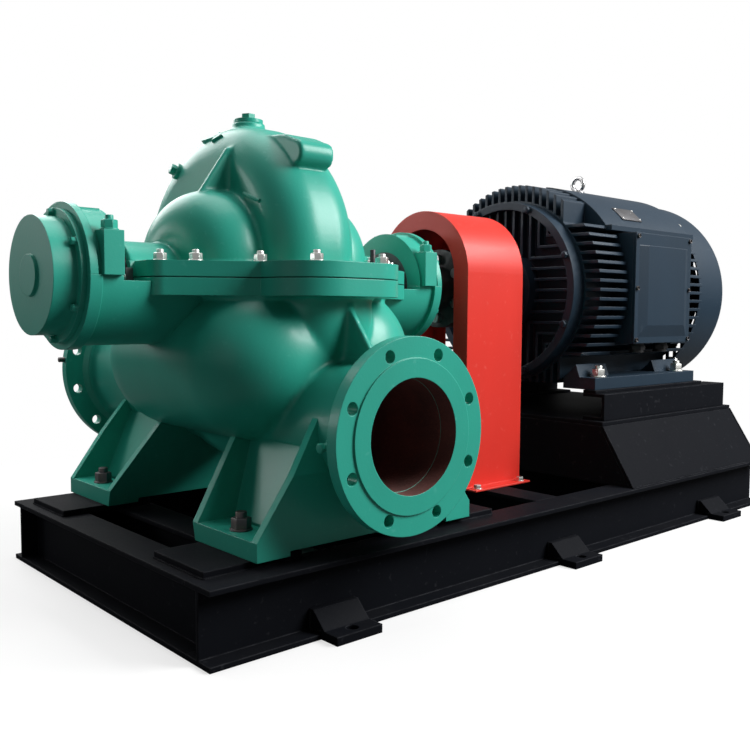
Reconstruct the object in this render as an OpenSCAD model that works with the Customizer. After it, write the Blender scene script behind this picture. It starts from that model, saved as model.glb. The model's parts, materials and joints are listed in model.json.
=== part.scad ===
// Horizontal split case pump set: double suction pump, coupling guard and finned motor on a beam base.
// +X runs along the shaft from the pump to the motor, +Y to the suction side, +Z up.
// The origin is the centre of the base frame's underside, on its middle cross beam.

/* [Base frame] */
// Overall length of the base frame
base_len = 1820; // [1740:10:2000]
// Overall width over the beam flanges
base_w = 812; // [790:2:900]
// Height of the rolled I beams
beam_h = 126; // [100:1:160]
// Flange width of the I beams
beam_b = 74; // [60:1:90]
// Web thickness of the I beams
beam_web = 6; // [4:0.5:12]
// Flange thickness of the I beams
beam_flange = 9; // [6:0.5:14]
// Distance of the pump's centre plane from the base's pump end
pump_inset = 361; // [350:1:400]
// Thickness of the sole plates under the pump feet
sole_t = 12; // [6:1:25]
// Length of a sole plate along the shaft
sole_len = 190; // [150:5:240]
// Width of a sole plate
sole_w = 160; // [130:5:190]
// Width of an anchor lug along the beam
lug_w = 98; // [70:1:140]
// Reach of an anchor lug beyond the beam flange
lug_reach = 42; // [36:1:70]
// Thickness of an anchor lug's plate
lug_t = 15; // [10:1:25]
// Distance between neighbouring anchor lugs
lug_pitch = 650; // [500:10:700]
// Radius of the anchor bolt holes
anchor_r = 11; // [8:0.5:14]

/* [Pump casing] */
// Height of the shaft above the base frame's underside
shaft_z = 600; // [580:1:640]
// Radius of the volute's front quarter
volute_front_r = 271; // [255:1:290]
// Radius of the volute's upper back quarter
volute_back_r = 327; // [310:1:345]
// Backward shift of the volute arcs' centres
volute_shift = 31; // [15:1:45]
// Height of the front quarter's centre above the shaft
volute_rise = 43; // [30:1:55]
// Half width of the volute
volute_half_w = 96; // [85:1:110]
// Corner radius of the volute's rim
volute_round = 78; // [50:1:84]
// Half width of the suction chambers along the shaft
chamber_half = 245; // [235:1:260]
// Depth of the lower suction chamber below the shaft
chamber_depth = 302; // [290:1:315]
// Reach of the lower suction chamber towards the front
chamber_front = 285; // [275:1:292]
// Reach of the lower suction chamber towards the back
chamber_back = 285; // [275:1:292]
// Corner radius of the lower suction chamber
chamber_round = 150; // [130:1:160]
// Thickness of the upper split flange
split_top_t = 28; // [20:1:36]
// Thickness of the lower split flange
split_low_t = 31; // [22:1:40]
// Distance of the split flange's ends from the centre plane
split_end = 302; // [290:1:306]
// Half width of the split flange's ends
split_end_half = 140; // [130:1:155]
// Corner radius of the split flange's ends
split_end_r = 34; // [20:1:50]
// Radius of the split flange's outline round the shaft's middle
split_mid_r = 264; // [255:1:275]
// Distance of the split flange's front edge from the shaft
split_front = 335; // [320:1:350]
// Distance of the split flange's back edge from the shaft
split_back = 402; // [390:1:415]
// Half width of the split flange along the volute
split_side = 142; // [130:1:155]
// Corner radius of the split flange along the volute
split_corner = 106; // [80:1:125]
// Height of the suction chambers' crown next to the volute
arch_top = 188; // [170:1:200]
// Half width of the upper suction chambers next to the volute
arch_half_w = 160; // [150:1:170]
// Height of the upper suction chambers' outer end
arch_end_top = 158; // [145:1:168]
// Half width of the upper suction chambers' outer end
arch_end_half_w = 130; // [118:1:136]
// Distance of the upper suction chambers' outer end from the centre plane
arch_end = 218; // [208:1:226]
// Distance by which the upper suction chambers' outer ends lie towards the front
arch_lead = 36; // [20:1:44]
// Rounding of the upper suction chambers' outer end
arch_round = 86; // [70:1:95]
// Outer radius of the stuffing boxes
stuffing_r = 68; // [62:1:80]
// Distance of a stuffing box face from the centre plane
stuffing_end = 312; // [308:1:318]

/* [Nozzles] */
// Distance of the discharge flange's face from the shaft
discharge_reach = 470; // [450:1:500]
// Depth of the discharge nozzle's centre below the shaft
discharge_drop = 269; // [255:1:285]
// Radius of the discharge bore
discharge_bore_r = 100; // [80:1:108]
// Outer radius of the discharge flange
discharge_flange_r = 170; // [165:1:185]
// Bolt circle diameter of the discharge flange
discharge_pcd = 295; // [280:1:310]
// Number of bolt holes in the discharge flange
discharge_holes = 8; // [4:4:12]
// Distance of the suction flange's face from the shaft
suction_reach = 540; // [520:1:570]
// Depth of the suction nozzle's centre below the shaft
suction_drop = 200; // [190:1:215]
// Radius of the suction bore
suction_bore_r = 125; // [100:1:135]
// Outer radius of the suction flange
suction_flange_r = 197.5; // [190:0.5:215]
// Bolt circle diameter of the suction flange
suction_pcd = 350; // [335:1:365]
// Number of bolt holes in the suction flange
suction_holes = 12; // [8:4:16]
// Thickness of both nozzle flanges
flange_t = 26; // [20:1:34]
// Wall thickness of the nozzles
nozzle_wall = 18; // [12:1:24]
// Radius of the flange bolt holes
flange_hole_r = 11; // [8:0.5:13]
// Height of the raised flange faces
raised_face_t = 3; // [2:0.5:5]

/* [Pump feet] */
// Distance of the feet's outer ends from the centre plane
foot_end = 251; // [240:1:270]
// Distance of the feet's inner sides from the shaft
foot_inner = 175; // [160:1:185]
// Distance of the feet's outer sides from the shaft
foot_outer = 368; // [355:1:390]
// Thickness of the foot pads
foot_t = 32; // [24:1:40]
// Length of a foot pad along the shaft
foot_pad_len = 66; // [50:1:90]
// Height up to which the legs' outer walls stand upright
leg_knee = 132; // [110:1:160]
// Distance by which a leg leans in above its knee
leg_lean = 30; // [20:1:60]
// Thickness of the leg walls
leg_wall = 16; // [10:1:22]

/* [Bearings and shaft] */
// Radius of the pump shaft
shaft_r = 32.5; // [28:0.5:36]
// Distance of the bearing housings' inner faces from the centre plane
housing_start = 352; // [345:1:365]
// Length of a bearing housing along the shaft
housing_len = 62; // [50:1:75]
// Outer radius of the bearing housings
housing_r = 129; // [120:1:140]
// Outer radius of the bearings
bearing_r = 80; // [70:1:88]
// Outer radius of the end covers
cover_r = 103; // [96:1:112]
// Depth of the closed end cover
cover_len = 51; // [40:1:65]
// Depth of the drive side end cover
drive_cover_len = 24; // [18:1:34]
// Outer radius of the brackets between casing and bearing housings
bracket_r = 122; // [112:1:126]
// Wall thickness of the brackets
bracket_wall = 22; // [14:1:26]
// Outer radius of the slinger rings
slinger_r = 62; // [50:1:72]
// Radial clearance of a shaft that turns in its bearing
running_gap = 0.3; // [0.2:0.05:0.5]
// Radial clearance where the shafts pass fixed parts
pass_gap = 6; // [5:0.5:9]

/* [Coupling and guard] */
// Distance of the coupling's middle from the pump's centre plane
coupling_x = 575; // [565:1:590]
// Gap between the coupling halves
coupling_gap = 6; // [4:0.5:10]
// Length of one coupling half
coupling_len = 80; // [60:1:90]
// Radius of the coupling flanges
coupling_r = 96; // [80:1:110]
// Number of coupling pins
coupling_pins = 6; // [4:1:10]
// Distance of the guard's pump side from the pump's centre plane
guard_start = 477; // [472:1:485]
// Length of the guard along the shaft
guard_len = 199; // [190:1:210]
// Half width of the guard
guard_half_w = 151; // [140:1:165]
// Height of the guard's arch centre above the shaft
guard_rise = 34; // [20:1:50]
// Thickness of the guard's sheet
guard_sheet = 4; // [3:0.5:6]
// Width of the border round the guard's end openings
guard_border = 44; // [35:1:50]
// Width of the guard's foot flanges
guard_foot = 34; // [25:1:45]

/* [Motor] */
// Height of the motor shaft above the motor feet
motor_h = 250; // [240:1:260]
// Distance of the drive end shield's face from the pump's centre plane
motor_start = 774; // [765:1:790]
// Thickness of the drive end shield
shield_t = 42; // [34:1:50]
// Radius of the end shields
shield_r = 232; // [222:1:240]
// Length of the finned motor frame
frame_len = 502; // [485:1:520]
// Radius of the frame below the fins
frame_r = 238; // [230:1:246]
// Outer radius of the fins
fin_r = 280; // [268:1:290]
// Thickness of a fin
fin_t = 8; // [5:0.5:11]
// Distance between neighbouring fins
fin_pitch = 23; // [18:0.5:30]
// Length of the fan cowl
cowl_len = 168; // [150:1:190]
// Outer radius of the fan cowl
cowl_r = 273; // [262:1:282]
// Thickness of the cowl's sheet
cowl_sheet = 4; // [3:0.5:6]
// Corner radius of the cowl
cowl_round = 44; // [25:1:60]
// Distance of the feet's outer sides from the shaft
motor_foot_out = 266; // [255:1:280]
// Width of a motor foot
motor_foot_w = 96; // [80:1:110]
// Length of the motor feet along the shaft
motor_foot_len = 486; // [460:1:500]
// Thickness of the motor feet
motor_foot_t = 30; // [22:1:38]
// Radius of the motor shaft
motor_shaft_r = 32.5; // [28:0.5:36]
// Length of the terminal box along the shaft
tbox_len = 274; // [250:1:290]
// Height of the terminal box
tbox_h = 282; // [260:1:295]
// Reach of the terminal box's lid from the shaft
tbox_reach = 307; // [300:1:325]
// Thickness of the terminal box's lid
tbox_lid_t = 18; // [12:1:26]
// Distance of the terminal box from the frame's drive end
tbox_start = 128; // [115:1:150]

/* [Pedestal] */
// Distance of the pedestal's pump end from the pump's centre plane
pedestal_start = 796; // [785:1:805]
// Distance of the pedestal's motor end from the base's end
pedestal_inset = 13; // [5:1:25]
// Half width of the pedestal's top
pedestal_top_half = 309; // [300:1:320]
// Half width of the pedestal at the base
pedestal_low_half = 398; // [385:1:405]
// Thickness of the pedestal plates
plate_t = 10; // [8:1:16]
// Height of the channel rails
rail_h = 66; // [55:1:80]
// Flange width of the channel rails
rail_b = 62; // [50:1:75]
// Wall thickness of the channel rails
rail_t = 8; // [6:0.5:12]
// Thickness of the shims under the motor feet
shim_t = 8; // [4:1:14]

/* [Hidden] */
$fn = 72;

// Margin by which cuts run past the faces they open
cut = 1;
// Large side length for half spaces
far = 3000;
// Places along X
pump_x = -base_len / 2 + pump_inset;
motor_x = pump_x + motor_start;
frame_x = motor_x + shield_t;
cowl_x = frame_x + frame_len;
pedestal_x = pump_x + pedestal_start;
pedestal_len = base_len / 2 - pedestal_inset - pedestal_x;
// Heights
sole_top = beam_h + sole_t;
motor_foot_z = shaft_z - motor_h;
rail_z = motor_foot_z - shim_t - rail_h;
pedestal_top = rail_z;
// Clearance of a hub that is keyed on a shaft
hub_gap = 0.2;
// Long beams' centre line
beam_y = base_w / 2 - beam_b / 2;
// Growth of the volute's lower quarters over its upper ones
low_back_growth = 26;
low_front_growth = 30;
// Volute arcs: each quarter's centre follows from the one before, so the rim runs on smoothly
volute_top = volute_front_r + volute_rise;
back_centre_z = volute_top - volute_back_r;
volute_back_y = volute_shift + volute_back_r;
low_back_r = volute_back_r + low_back_growth;
low_back_y = volute_back_y - low_back_r;
volute_bottom = back_centre_z - low_back_r;
low_front_r = volute_front_r + low_front_growth;
low_front_z = volute_bottom + low_front_r;
// Planes where the nozzles' castings start, clear of the suction chamber and the volute
discharge_root = max(chamber_front, low_front_r - low_back_y) + 4;
suction_root = max(chamber_back, volute_back_y) + 4;
// Depth to which the nozzle bores run into the casing
bore_run = 52;
// Clearance between castings whose curved faces meet
seat_gap = 0.3;
// Inset of the split flange's straight sides, so that they cross the round corners instead of touching them
side_inset = 0.6;
// Feet of the pump
foot_mid = (foot_inner + foot_outer) / 2;
foot_z = sole_top - shaft_z;
// Bearings
housing_end = housing_start + housing_len;
cover_end = housing_end + cover_len;
pass_r = shaft_r + pass_gap;
gland_len = 18;
slinger_x = (stuffing_end + gland_len + housing_start) / 2;
slinger_t = 8;
// Coupling
pin_r = 12;
pin_circle = coupling_r - 2 * pin_r;
pin_flange = 36;
// Motor
foot_start = frame_x + (frame_len - motor_foot_len) / 2;
tbox_x = frame_x + tbox_start;
tbox_top = 147;
tbox_z = shaft_z + tbox_top - tbox_h;
tbox_back = frame_r * 0.66;
gland_back = tbox_back + 60;
gland_drop = 26;
eye_x = frame_x + frame_len / 2 + 41;
eye_seat = fin_r + 5;
eye_pad_r = 24;
far_shield_t = 24;
// Lugs
lug_first = -lug_pitch;

pump_green = "#2e9a7e";
guard_red = "#f04a3a";
frame_black = "#25262d";
motor_slate = "#3a4654";
steel = "#b9bcc0";

// Turns a shape built along Z so that it runs along +X
module along_x() {
    rotate([0, 90, 0]) children();
}

// Turns a shape built along Z so that it runs along +Y
module along_y() {
    rotate([-90, 0, 0]) children();
}

// Places a shape drawn round the pump's centre on the shaft
module at_pump() {
    translate([pump_x, 0, shaft_z]) children();
}

// Keeps a shape and adds its mirror image across the pump's centre plane
module both_ends() {
    children();
    mirror([1, 0, 0]) children();
}

// Keeps what lies above the shaft's level
module upper_half() {
    intersection() {
        children();
        translate([-far / 2, -far / 2, 0]) cube(far);
    }
}

// Keeps what lies below the shaft's level
module lower_half() {
    intersection() {
        children();
        translate([-far / 2, -far / 2, -far]) cube(far);
    }
}

// I beam section, standing on the X axis of the drawing
module beam_section() {
    translate([-beam_b / 2, 0]) square([beam_b, beam_flange]);
    translate([-beam_b / 2, beam_h - beam_flange]) square([beam_b, beam_flange]);
    translate([-beam_web / 2, 0]) square([beam_web, beam_h]);
}

// I beam along X, centred on its length
module beam_x(length) {
    rotate([90, 0, 90]) linear_extrude(length, center = true) beam_section();
}

// I beam along Y between the long beams, with its web coped to reach their webs
module beam_between() {
    flange_len = base_w - 2 * beam_b;
    web_len = base_w - beam_b - beam_web;
    rotate([90, 0, 0]) linear_extrude(flange_len, center = true) beam_section();
    translate([-beam_web / 2, -web_len / 2, beam_flange])
        cube([beam_web, web_len, beam_h - 2 * beam_flange]);
}

module base_front_beam() {
    color(frame_black) translate([0, -beam_y, 0]) beam_x(base_len);
}

module base_back_beam() {
    color(frame_black) translate([0, beam_y, 0]) beam_x(base_len);
}

module base_pump_end_beam() {
    color(frame_black) translate([-base_len / 2 + beam_b / 2, 0, 0]) beam_between();
}

module base_motor_end_beam() {
    color(frame_black) translate([base_len / 2 - beam_b / 2, 0, 0]) beam_between();
}

module base_cross_beams() {
    foot_x = foot_end - foot_pad_len / 2;
    color(frame_black)
        for (x = [pump_x - foot_x + beam_b / 2, pump_x + foot_x, 0, pedestal_x + beam_b, base_len / 2 - 4 * beam_b])
            translate([x, 0, 0]) beam_between();
}

// One anchor lug on the front side: a plate beyond the flange and a chair over it
module anchor_lug() {
    edge = base_w / 2;
    chair_h = 44;
    chair_y = edge - (beam_b - beam_web) / 2;
    difference() {
        union() {
            translate([-lug_w / 2, -edge - lug_reach, 0]) cube([lug_w, lug_reach, lug_t]);
            translate([-lug_w / 2, 0, 0]) rotate([90, 0, 90]) linear_extrude(lug_w)
                polygon([
                    [-edge, beam_flange], [-chair_y, beam_flange], [-chair_y, chair_h],
                    [-chair_y - 12, chair_h], [-edge - 8, lug_t], [-edge, lug_t]
                ]);
        }
        translate([0, -edge - lug_reach / 2, -cut]) cylinder(h = lug_t + 2 * cut, r = anchor_r);
    }
}

module anchor_lugs() {
    color(frame_black)
        for (i = [0 : 2], side = [0, 1])
            translate([lug_first + i * lug_pitch, 0, 0]) mirror([0, side, 0]) anchor_lug();
}

module pump_sole_plates() {
    color(frame_black)
        translate([pump_x, 0, beam_h]) for (end = [0, 1], side = [-1, 1])
            mirror([end, 0, 0])
                translate([-foot_end - 88, side * foot_mid - sole_w / 2, 0]) cube([sole_len, sole_w, sole_t]);
}

// Sloped pedestal side as a plate of even thickness
module pedestal_side() {
    rotate([90, 0, 90]) linear_extrude(pedestal_len)
        polygon([
            [-pedestal_low_half, beam_h], [-pedestal_low_half + plate_t, beam_h],
            [-pedestal_top_half + plate_t, pedestal_top - plate_t], [-pedestal_top_half, pedestal_top - plate_t]
        ]);
}

// Trapezoid plate that closes one end between the sloped sides
module pedestal_end() {
    rotate([90, 0, 90]) linear_extrude(plate_t)
        polygon([
            [-pedestal_low_half + plate_t, beam_h], [pedestal_low_half - plate_t, beam_h],
            [pedestal_top_half - plate_t, pedestal_top - plate_t],
            [-pedestal_top_half + plate_t, pedestal_top - plate_t]
        ]);
}

module pedestal_front_plate() {
    color(frame_black) translate([pedestal_x, 0, 0]) pedestal_side();
}

module pedestal_back_plate() {
    color(frame_black) translate([pedestal_x, 0, 0]) mirror([0, 1, 0]) pedestal_side();
}

module pedestal_pump_end_plate() {
    color(frame_black) translate([pedestal_x, 0, 0]) pedestal_end();
}

module pedestal_motor_end_plate() {
    color(frame_black) translate([pedestal_x + pedestal_len - plate_t, 0, 0]) pedestal_end();
}

module pedestal_top_plate() {
    color(frame_black)
        translate([pedestal_x, -pedestal_top_half, pedestal_top - plate_t])
            cube([pedestal_len, 2 * pedestal_top_half, plate_t]);
}

// Channel rail under one row of motor feet, with its back outwards
module rail() {
    translate([0, -pedestal_top_half + plate_t, rail_z]) {
        cube([pedestal_len - 4 * plate_t, rail_t, rail_h]);
        cube([pedestal_len - 4 * plate_t, rail_b, rail_t]);
        translate([0, 0, rail_h - rail_t]) cube([pedestal_len - 4 * plate_t, rail_b, rail_t]);
    }
}

module motor_rails() {
    color(frame_black)
        translate([pedestal_x + 2 * plate_t, 0, 0]) for (side = [0, 1]) mirror([0, side, 0]) rail();
}

module motor_shims() {
    shim_len = motor_foot_len + 40;
    rail_in = pedestal_top_half - plate_t - rail_b;
    shim_out = motor_foot_out + 8;
    color(frame_black)
        for (side = [0, 1]) mirror([0, side, 0])
            translate([foot_start - 8, -shim_out, rail_z + rail_h]) cube([shim_len, shim_out - rail_in, shim_t]);
}

// Rounded rim section of the volute, drawn as radius against width
module volute_section(radius, grow = 0) {
    square_half = volute_half_w - volute_round;
    translate([0, -volute_half_w - grow]) square([radius - volute_round, 2 * (volute_half_w + grow)]);
    translate([0, -square_half]) square([radius + grow, 2 * square_half]);
    for (side = [-1, 1])
        translate([radius - volute_round, side * square_half]) circle(volute_round + grow);
}

// One quarter of the volute: a revolved rim about its own centre, cut to the quarter
module volute_quarter(centre_y, centre_z, radius, dir_y, dir_z, grow = 0) {
    translate([0, centre_y, centre_z])
        intersection() {
            along_x() rotate_extrude() volute_section(radius, grow);
            translate([-far / 2, dir_y > 0 ? 0 : -far, dir_z > 0 ? 0 : -far]) cube(far);
        }
}

// Straight run of the volute's front rim between a height and the split
module volute_front(centre_y, low, high, radius, grow = 0) {
    translate([0, centre_y, low]) linear_extrude(high - low) rotate(-90) volute_section(radius, grow);
}

// Outline round the shaft seen from above: a disc drawn out to a square end on each side
module lozenge() {
    corner = [split_end - split_end_r, split_end_half - split_end_r];
    lean = atan2(corner[1], corner[0]) + acos((split_mid_r - split_end_r) / norm(corner));
    normal = [cos(lean), sin(lean)];
    circle(split_mid_r);
    square([2 * split_end, 2 * corner[1]], center = true);
    for (x = [0, 1], y = [0, 1]) mirror([x, 0]) mirror([0, y]) {
        translate(corner) circle(split_end_r);
        polygon([[0, 0], (split_mid_r - side_inset) * normal, corner + (split_end_r - side_inset) * normal, corner]);
    }
}

// Outline of the split flange seen from above: the lozenge and a band along the volute
module split_outline() {
    lozenge();
    translate([-split_side, -split_front + split_corner])
        square([2 * split_side, split_front + split_back - 2 * split_corner]);
    translate([-split_side + split_corner, -split_front])
        square([2 * (split_side - split_corner), split_front + split_back]);
    for (x = [-1, 1], y = [-split_front + split_corner, split_back - split_corner])
        translate([x * (split_side - split_corner), y]) circle(split_corner);
}

// Upper suction chamber on the +X side: a round crown that narrows from the volute to its rounded end
module suction_arch() {
    start = volute_half_w / 2;
    run = arch_end - start;
    end_r = arch_end_half_w;
    taper = (arch_half_w - end_r) / run;
    translate([start, 0, arch_top - arch_half_w]) rotate([0, 0, -atan2(arch_lead, run)]) along_x()
        rotate_extrude() intersection() {
            union() {
                polygon([
                    [0, 0], [arch_half_w, 0], [end_r + taper * arch_round, run - arch_round],
                    [end_r - arch_round, run - arch_round]
                ]);
                square([end_r - arch_round, run]);
                translate([end_r + taper * arch_round - arch_round, run - arch_round]) circle(arch_round);
            }
            square(far);
        }
}

// Lifting ear on the front of the volute's rim: a tongue that runs off the rim and ends in a rounded nose
module lifting_ear() {
    ear_w = 78;
    nose_r = 25;
    nose_y = volute_shift - volute_front_r + 62;
    nose_z = volute_top - 76;
    translate([-ear_w / 2, 0, 0]) rotate([90, 0, 90]) linear_extrude(ear_w) {
        translate([nose_y, nose_z]) circle(nose_r);
        polygon([
            [nose_y, nose_z - nose_r], [nose_y + 60, nose_z - nose_r], [nose_y + 110, nose_z + 20],
            [nose_y + 84, nose_z + 44], [nose_y + 30, nose_z + 38], [nose_y - nose_r * 0.6, nose_z + nose_r * 0.8]
        ]);
    }
}

// Triangular rib between a suction chamber's crown and the volute's flank
module crown_rib() {
    rib_t = 12;
    rib_back = 40;
    foot = volute_half_w + 62;
    translate([0, rib_t / 2 - rib_back, 0]) rotate([90, 0, 0]) linear_extrude(rib_t)
        polygon([
            [volute_half_w - 12, arch_end_top], [volute_half_w - 8, volute_top - 56], [volute_half_w + 2, volute_top - 56],
            [foot, arch_top - 18], [foot, arch_end_top]
        ]);
}

module upper_casing() {
    boss_r = 34;
    boss_h = 12;
    color(pump_green) at_pump() {
        difference() {
            union() {
                upper_half() {
                    volute_quarter(volute_shift, volute_rise, volute_front_r, -1, 1);
                    volute_quarter(volute_shift, back_centre_z, volute_back_r, 1, 1);
                    volute_front(volute_shift, 0, volute_rise, volute_front_r);
                    both_ends() suction_arch();
                    along_x() cylinder(h = 2 * stuffing_end, r = stuffing_r, center = true);
                }
                linear_extrude(split_top_t) split_outline();
                both_ends() crown_rib();
                lifting_ear();
                translate([0, 2 * volute_shift, 0]) mirror([0, 1, 0]) lifting_ear();
                translate([0, volute_shift, volute_top - boss_r]) cylinder(h = boss_r + boss_h, r = boss_r);
            }
            along_x() cylinder(h = far, r = pass_r, center = true);
        }
    }
}

module vent_plug() {
    boss_h = 12;
    color(pump_green) at_pump() translate([0, volute_shift, volute_top + boss_h]) {
        cylinder(h = 8, r = 30);
        translate([0, 0, 8]) cylinder(h = 12, r = 15, $fn = 6);
    }
}

// Bolt holes on a circle, half a step off the vertical, drilled along +Y
module flange_drill(pcd, count, depth) {
    for (i = [0 : count - 1])
        rotate([0, (i + 0.5) * 360 / count, 0])
            translate([0, 0, pcd / 2]) along_y() cylinder(h = depth, r = flange_hole_r, center = true);
}

// Neck of a nozzle along +Y, from a round root inside the casing to a distance from the shaft
module nozzle_neck(reach, end, bore_r, grow = 0) {
    neck = bore_r + nozzle_wall + grow;
    root = reach * 0.28;
    along_y() translate([0, 0, root]) rotate_extrude() intersection() {
        union() {
            circle(neck);
            square([neck, end - root]);
        }
        translate([0, -far / 2]) square(far);
    }
}

// Flange of a nozzle along +Y with its raised face and the cone behind it
module nozzle_flange(reach, bore_r, flange_r, face_r) {
    neck = bore_r + nozzle_wall;
    cone = 14;
    along_y() translate([0, 0, reach - flange_t]) {
        translate([0, 0, -cone]) cylinder(h = cone, r1 = neck, r2 = neck + cone);
        cylinder(h = flange_t - raised_face_t, r = flange_r);
        cylinder(h = flange_t, r = face_r);
    }
}

// Stadium across the lower suction chamber: two rounded sides and the flat bottom between them
module chamber_stadium(grow = 0) {
    radius = chamber_round + grow;
    length = chamber_front + chamber_back - 2 * chamber_round;
    for (y = [0, length]) translate([y, 0]) circle(radius);
    translate([0, -radius]) square([length, 2 * radius]);
}

// Rounded end of the lower suction chamber on the +X side: a capsule along Y, a little slimmer than the stadium
module chamber_end(grow = 0) {
    along_y() rotate_extrude() intersection() {
        rotate(90) chamber_stadium(grow - seat_gap);
        translate([0, -far / 2]) square(far);
    }
}

// Lower suction chamber: a bowl with round edges that hangs from the split flange
module lower_chamber(grow = 0) {
    round_x = chamber_half - chamber_round;
    translate([0, chamber_round - chamber_front, chamber_round - chamber_depth]) {
        rotate([90, 0, 90]) linear_extrude(2 * round_x, center = true) chamber_stadium(grow);
        both_ends() translate([round_x, 0, 0]) chamber_end(grow);
    }
}

// Pump's body below the split flange: suction chamber, volute and the nozzles' necks up to a distance from the shaft
module casing_mass(discharge_end, suction_end, grow = 0) {
    intersection() {
        union() {
            lower_chamber(grow);
            volute_quarter(low_back_y, back_centre_z, low_back_r, 1, -1, grow);
            volute_quarter(low_back_y, low_front_z, low_front_r, -1, -1, grow);
            volute_front(low_back_y, low_front_z, 0, low_front_r, grow);
            at_discharge() nozzle_neck(discharge_reach, discharge_end, discharge_bore_r, grow);
            at_suction() nozzle_neck(suction_reach, suction_end, suction_bore_r, grow);
        }
        translate([-far / 2, -far / 2, -far - split_low_t]) cube(far);
    }
}

// Places a shape drawn along +Y on the discharge nozzle's axis
module at_discharge() {
    translate([0, 0, -discharge_drop]) mirror([0, 1, 0]) children();
}

// Places a shape drawn along +Y on the suction nozzle's axis
module at_suction() {
    translate([0, 0, -suction_drop]) children();
}

// Bore of a nozzle along +Y, from inside the casing to past its face
module nozzle_bore(root, reach, bore_r) {
    along_y() translate([0, 0, root - bore_run]) cylinder(h = reach - root + bore_run + cut, r = bore_r);
}

// Nozzle along +Y from its root plane to its face, with its bore and bolt holes
module nozzle(root, reach, bore_r, flange_r, face_r, pcd, holes) {
    difference() {
        union() {
            along_y() translate([0, 0, root]) cylinder(h = reach - flange_t - root, r = bore_r + nozzle_wall);
            nozzle_flange(reach, bore_r, flange_r, face_r);
            children();
        }
        nozzle_bore(root, reach, bore_r);
        translate([0, reach - flange_t / 2, 0]) flange_drill(pcd, holes, flange_t + 2 * cut);
    }
}

// Thin rib from the split flange's front down to the discharge nozzle, between two distances from the shaft
module nozzle_rib(near, end) {
    rib_t = 14;
    rib_in = 120;
    rib_top_y = split_front - 48;
    rib_foot_y = discharge_reach - 75;
    neck_top = -discharge_drop + discharge_bore_r;
    translate([rib_t / 2, 0, 0]) rotate([90, 0, -90]) linear_extrude(rib_t) intersection() {
        polygon([
            [rib_top_y, -split_low_t], [rib_foot_y, neck_top],
            [rib_top_y - rib_in, neck_top], [rib_top_y - rib_in, -split_low_t]
        ]);
        translate([near, -far / 2]) square([end - near, far]);
    }
}

module lower_casing() {
    color(pump_green) at_pump() difference() {
        union() {
            casing_mass(discharge_root, suction_root);
            lower_half() along_x() cylinder(h = 2 * stuffing_end, r = stuffing_r, center = true);
            nozzle_rib(0, discharge_root);
            translate([0, 0, -split_low_t]) linear_extrude(split_low_t) split_outline();
        }
        along_x() cylinder(h = far, r = pass_r, center = true);
        at_discharge() nozzle_bore(discharge_root, discharge_reach, discharge_bore_r);
        at_suction() nozzle_bore(suction_root, suction_reach, suction_bore_r);
    }
}

module discharge_nozzle() {
    face_r = discharge_pcd / 2 - 14;
    color(pump_green) at_pump() at_discharge()
        nozzle(discharge_root, discharge_reach, discharge_bore_r, discharge_flange_r, face_r, discharge_pcd, discharge_holes)
            translate([0, 0, discharge_drop]) mirror([0, 1, 0]) nozzle_rib(discharge_root, discharge_reach);
}

module suction_nozzle() {
    face_r = suction_pcd / 2 - 15;
    color(pump_green) at_pump() at_suction()
        nozzle(suction_root, suction_reach, suction_bore_r, suction_flange_r, face_r, suction_pcd, suction_holes);
}

// Leg outline across the shaft: upright below the knee, then leaning in to the casing
module leg_across(inset) {
    top_z = -discharge_drop + discharge_bore_r;
    polygon([
        [foot_inner + inset, foot_z], [foot_outer - inset, foot_z], [foot_outer - inset, foot_z + leg_knee],
        [foot_outer - leg_lean - inset, top_z], [foot_inner * 0.6 + inset, top_z]
    ]);
}

// Leg outline along the shaft, narrowing upwards
module leg_along(inset) {
    top_half = chamber_half * 0.26;
    top_z = -discharge_drop + discharge_bore_r;
    polygon([
        [-foot_end + inset, foot_z], [foot_end - inset, foot_z], [foot_end - inset, foot_z + foot_t],
        [top_half, top_z], [-top_half, top_z], [-foot_end + inset, foot_z + foot_t]
    ]);
}

// Leg along one side: pads at both ends, two walls and the core between them
module leg() {
    relief = 9;
    pocket = 44;
    difference() {
        union() {
            for (end = [-1, 1])
                translate([end > 0 ? foot_end - foot_pad_len : -foot_end, foot_inner, foot_z])
                    cube([foot_pad_len, foot_outer - foot_inner, foot_t]);
            intersection() {
                rotate([90, 0, 0]) linear_extrude(far, center = true) leg_along(0);
                rotate([90, 0, 90]) linear_extrude(far, center = true) difference() {
                    leg_across(0);
                    leg_across(leg_wall);
                }
            }
            intersection() {
                rotate([90, 0, 0]) linear_extrude(far, center = true) leg_along(foot_pad_len + pocket / 4);
                rotate([90, 0, 90]) linear_extrude(far, center = true) leg_across(0);
            }
        }
        translate([-foot_end + foot_pad_len, 0, foot_z - cut])
            cube([2 * (foot_end - foot_pad_len), far, relief + cut]);
        translate([-far / 2, -far / 2, -discharge_drop + discharge_bore_r - relief]) cube(far);
    }
}

module pump_legs() {
    color(pump_green) at_pump() difference() {
        for (side = [0, 1]) mirror([0, side, 0]) leg();
        casing_mass(discharge_reach - flange_t, suction_reach - flange_t, seat_gap);
    }
}

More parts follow.
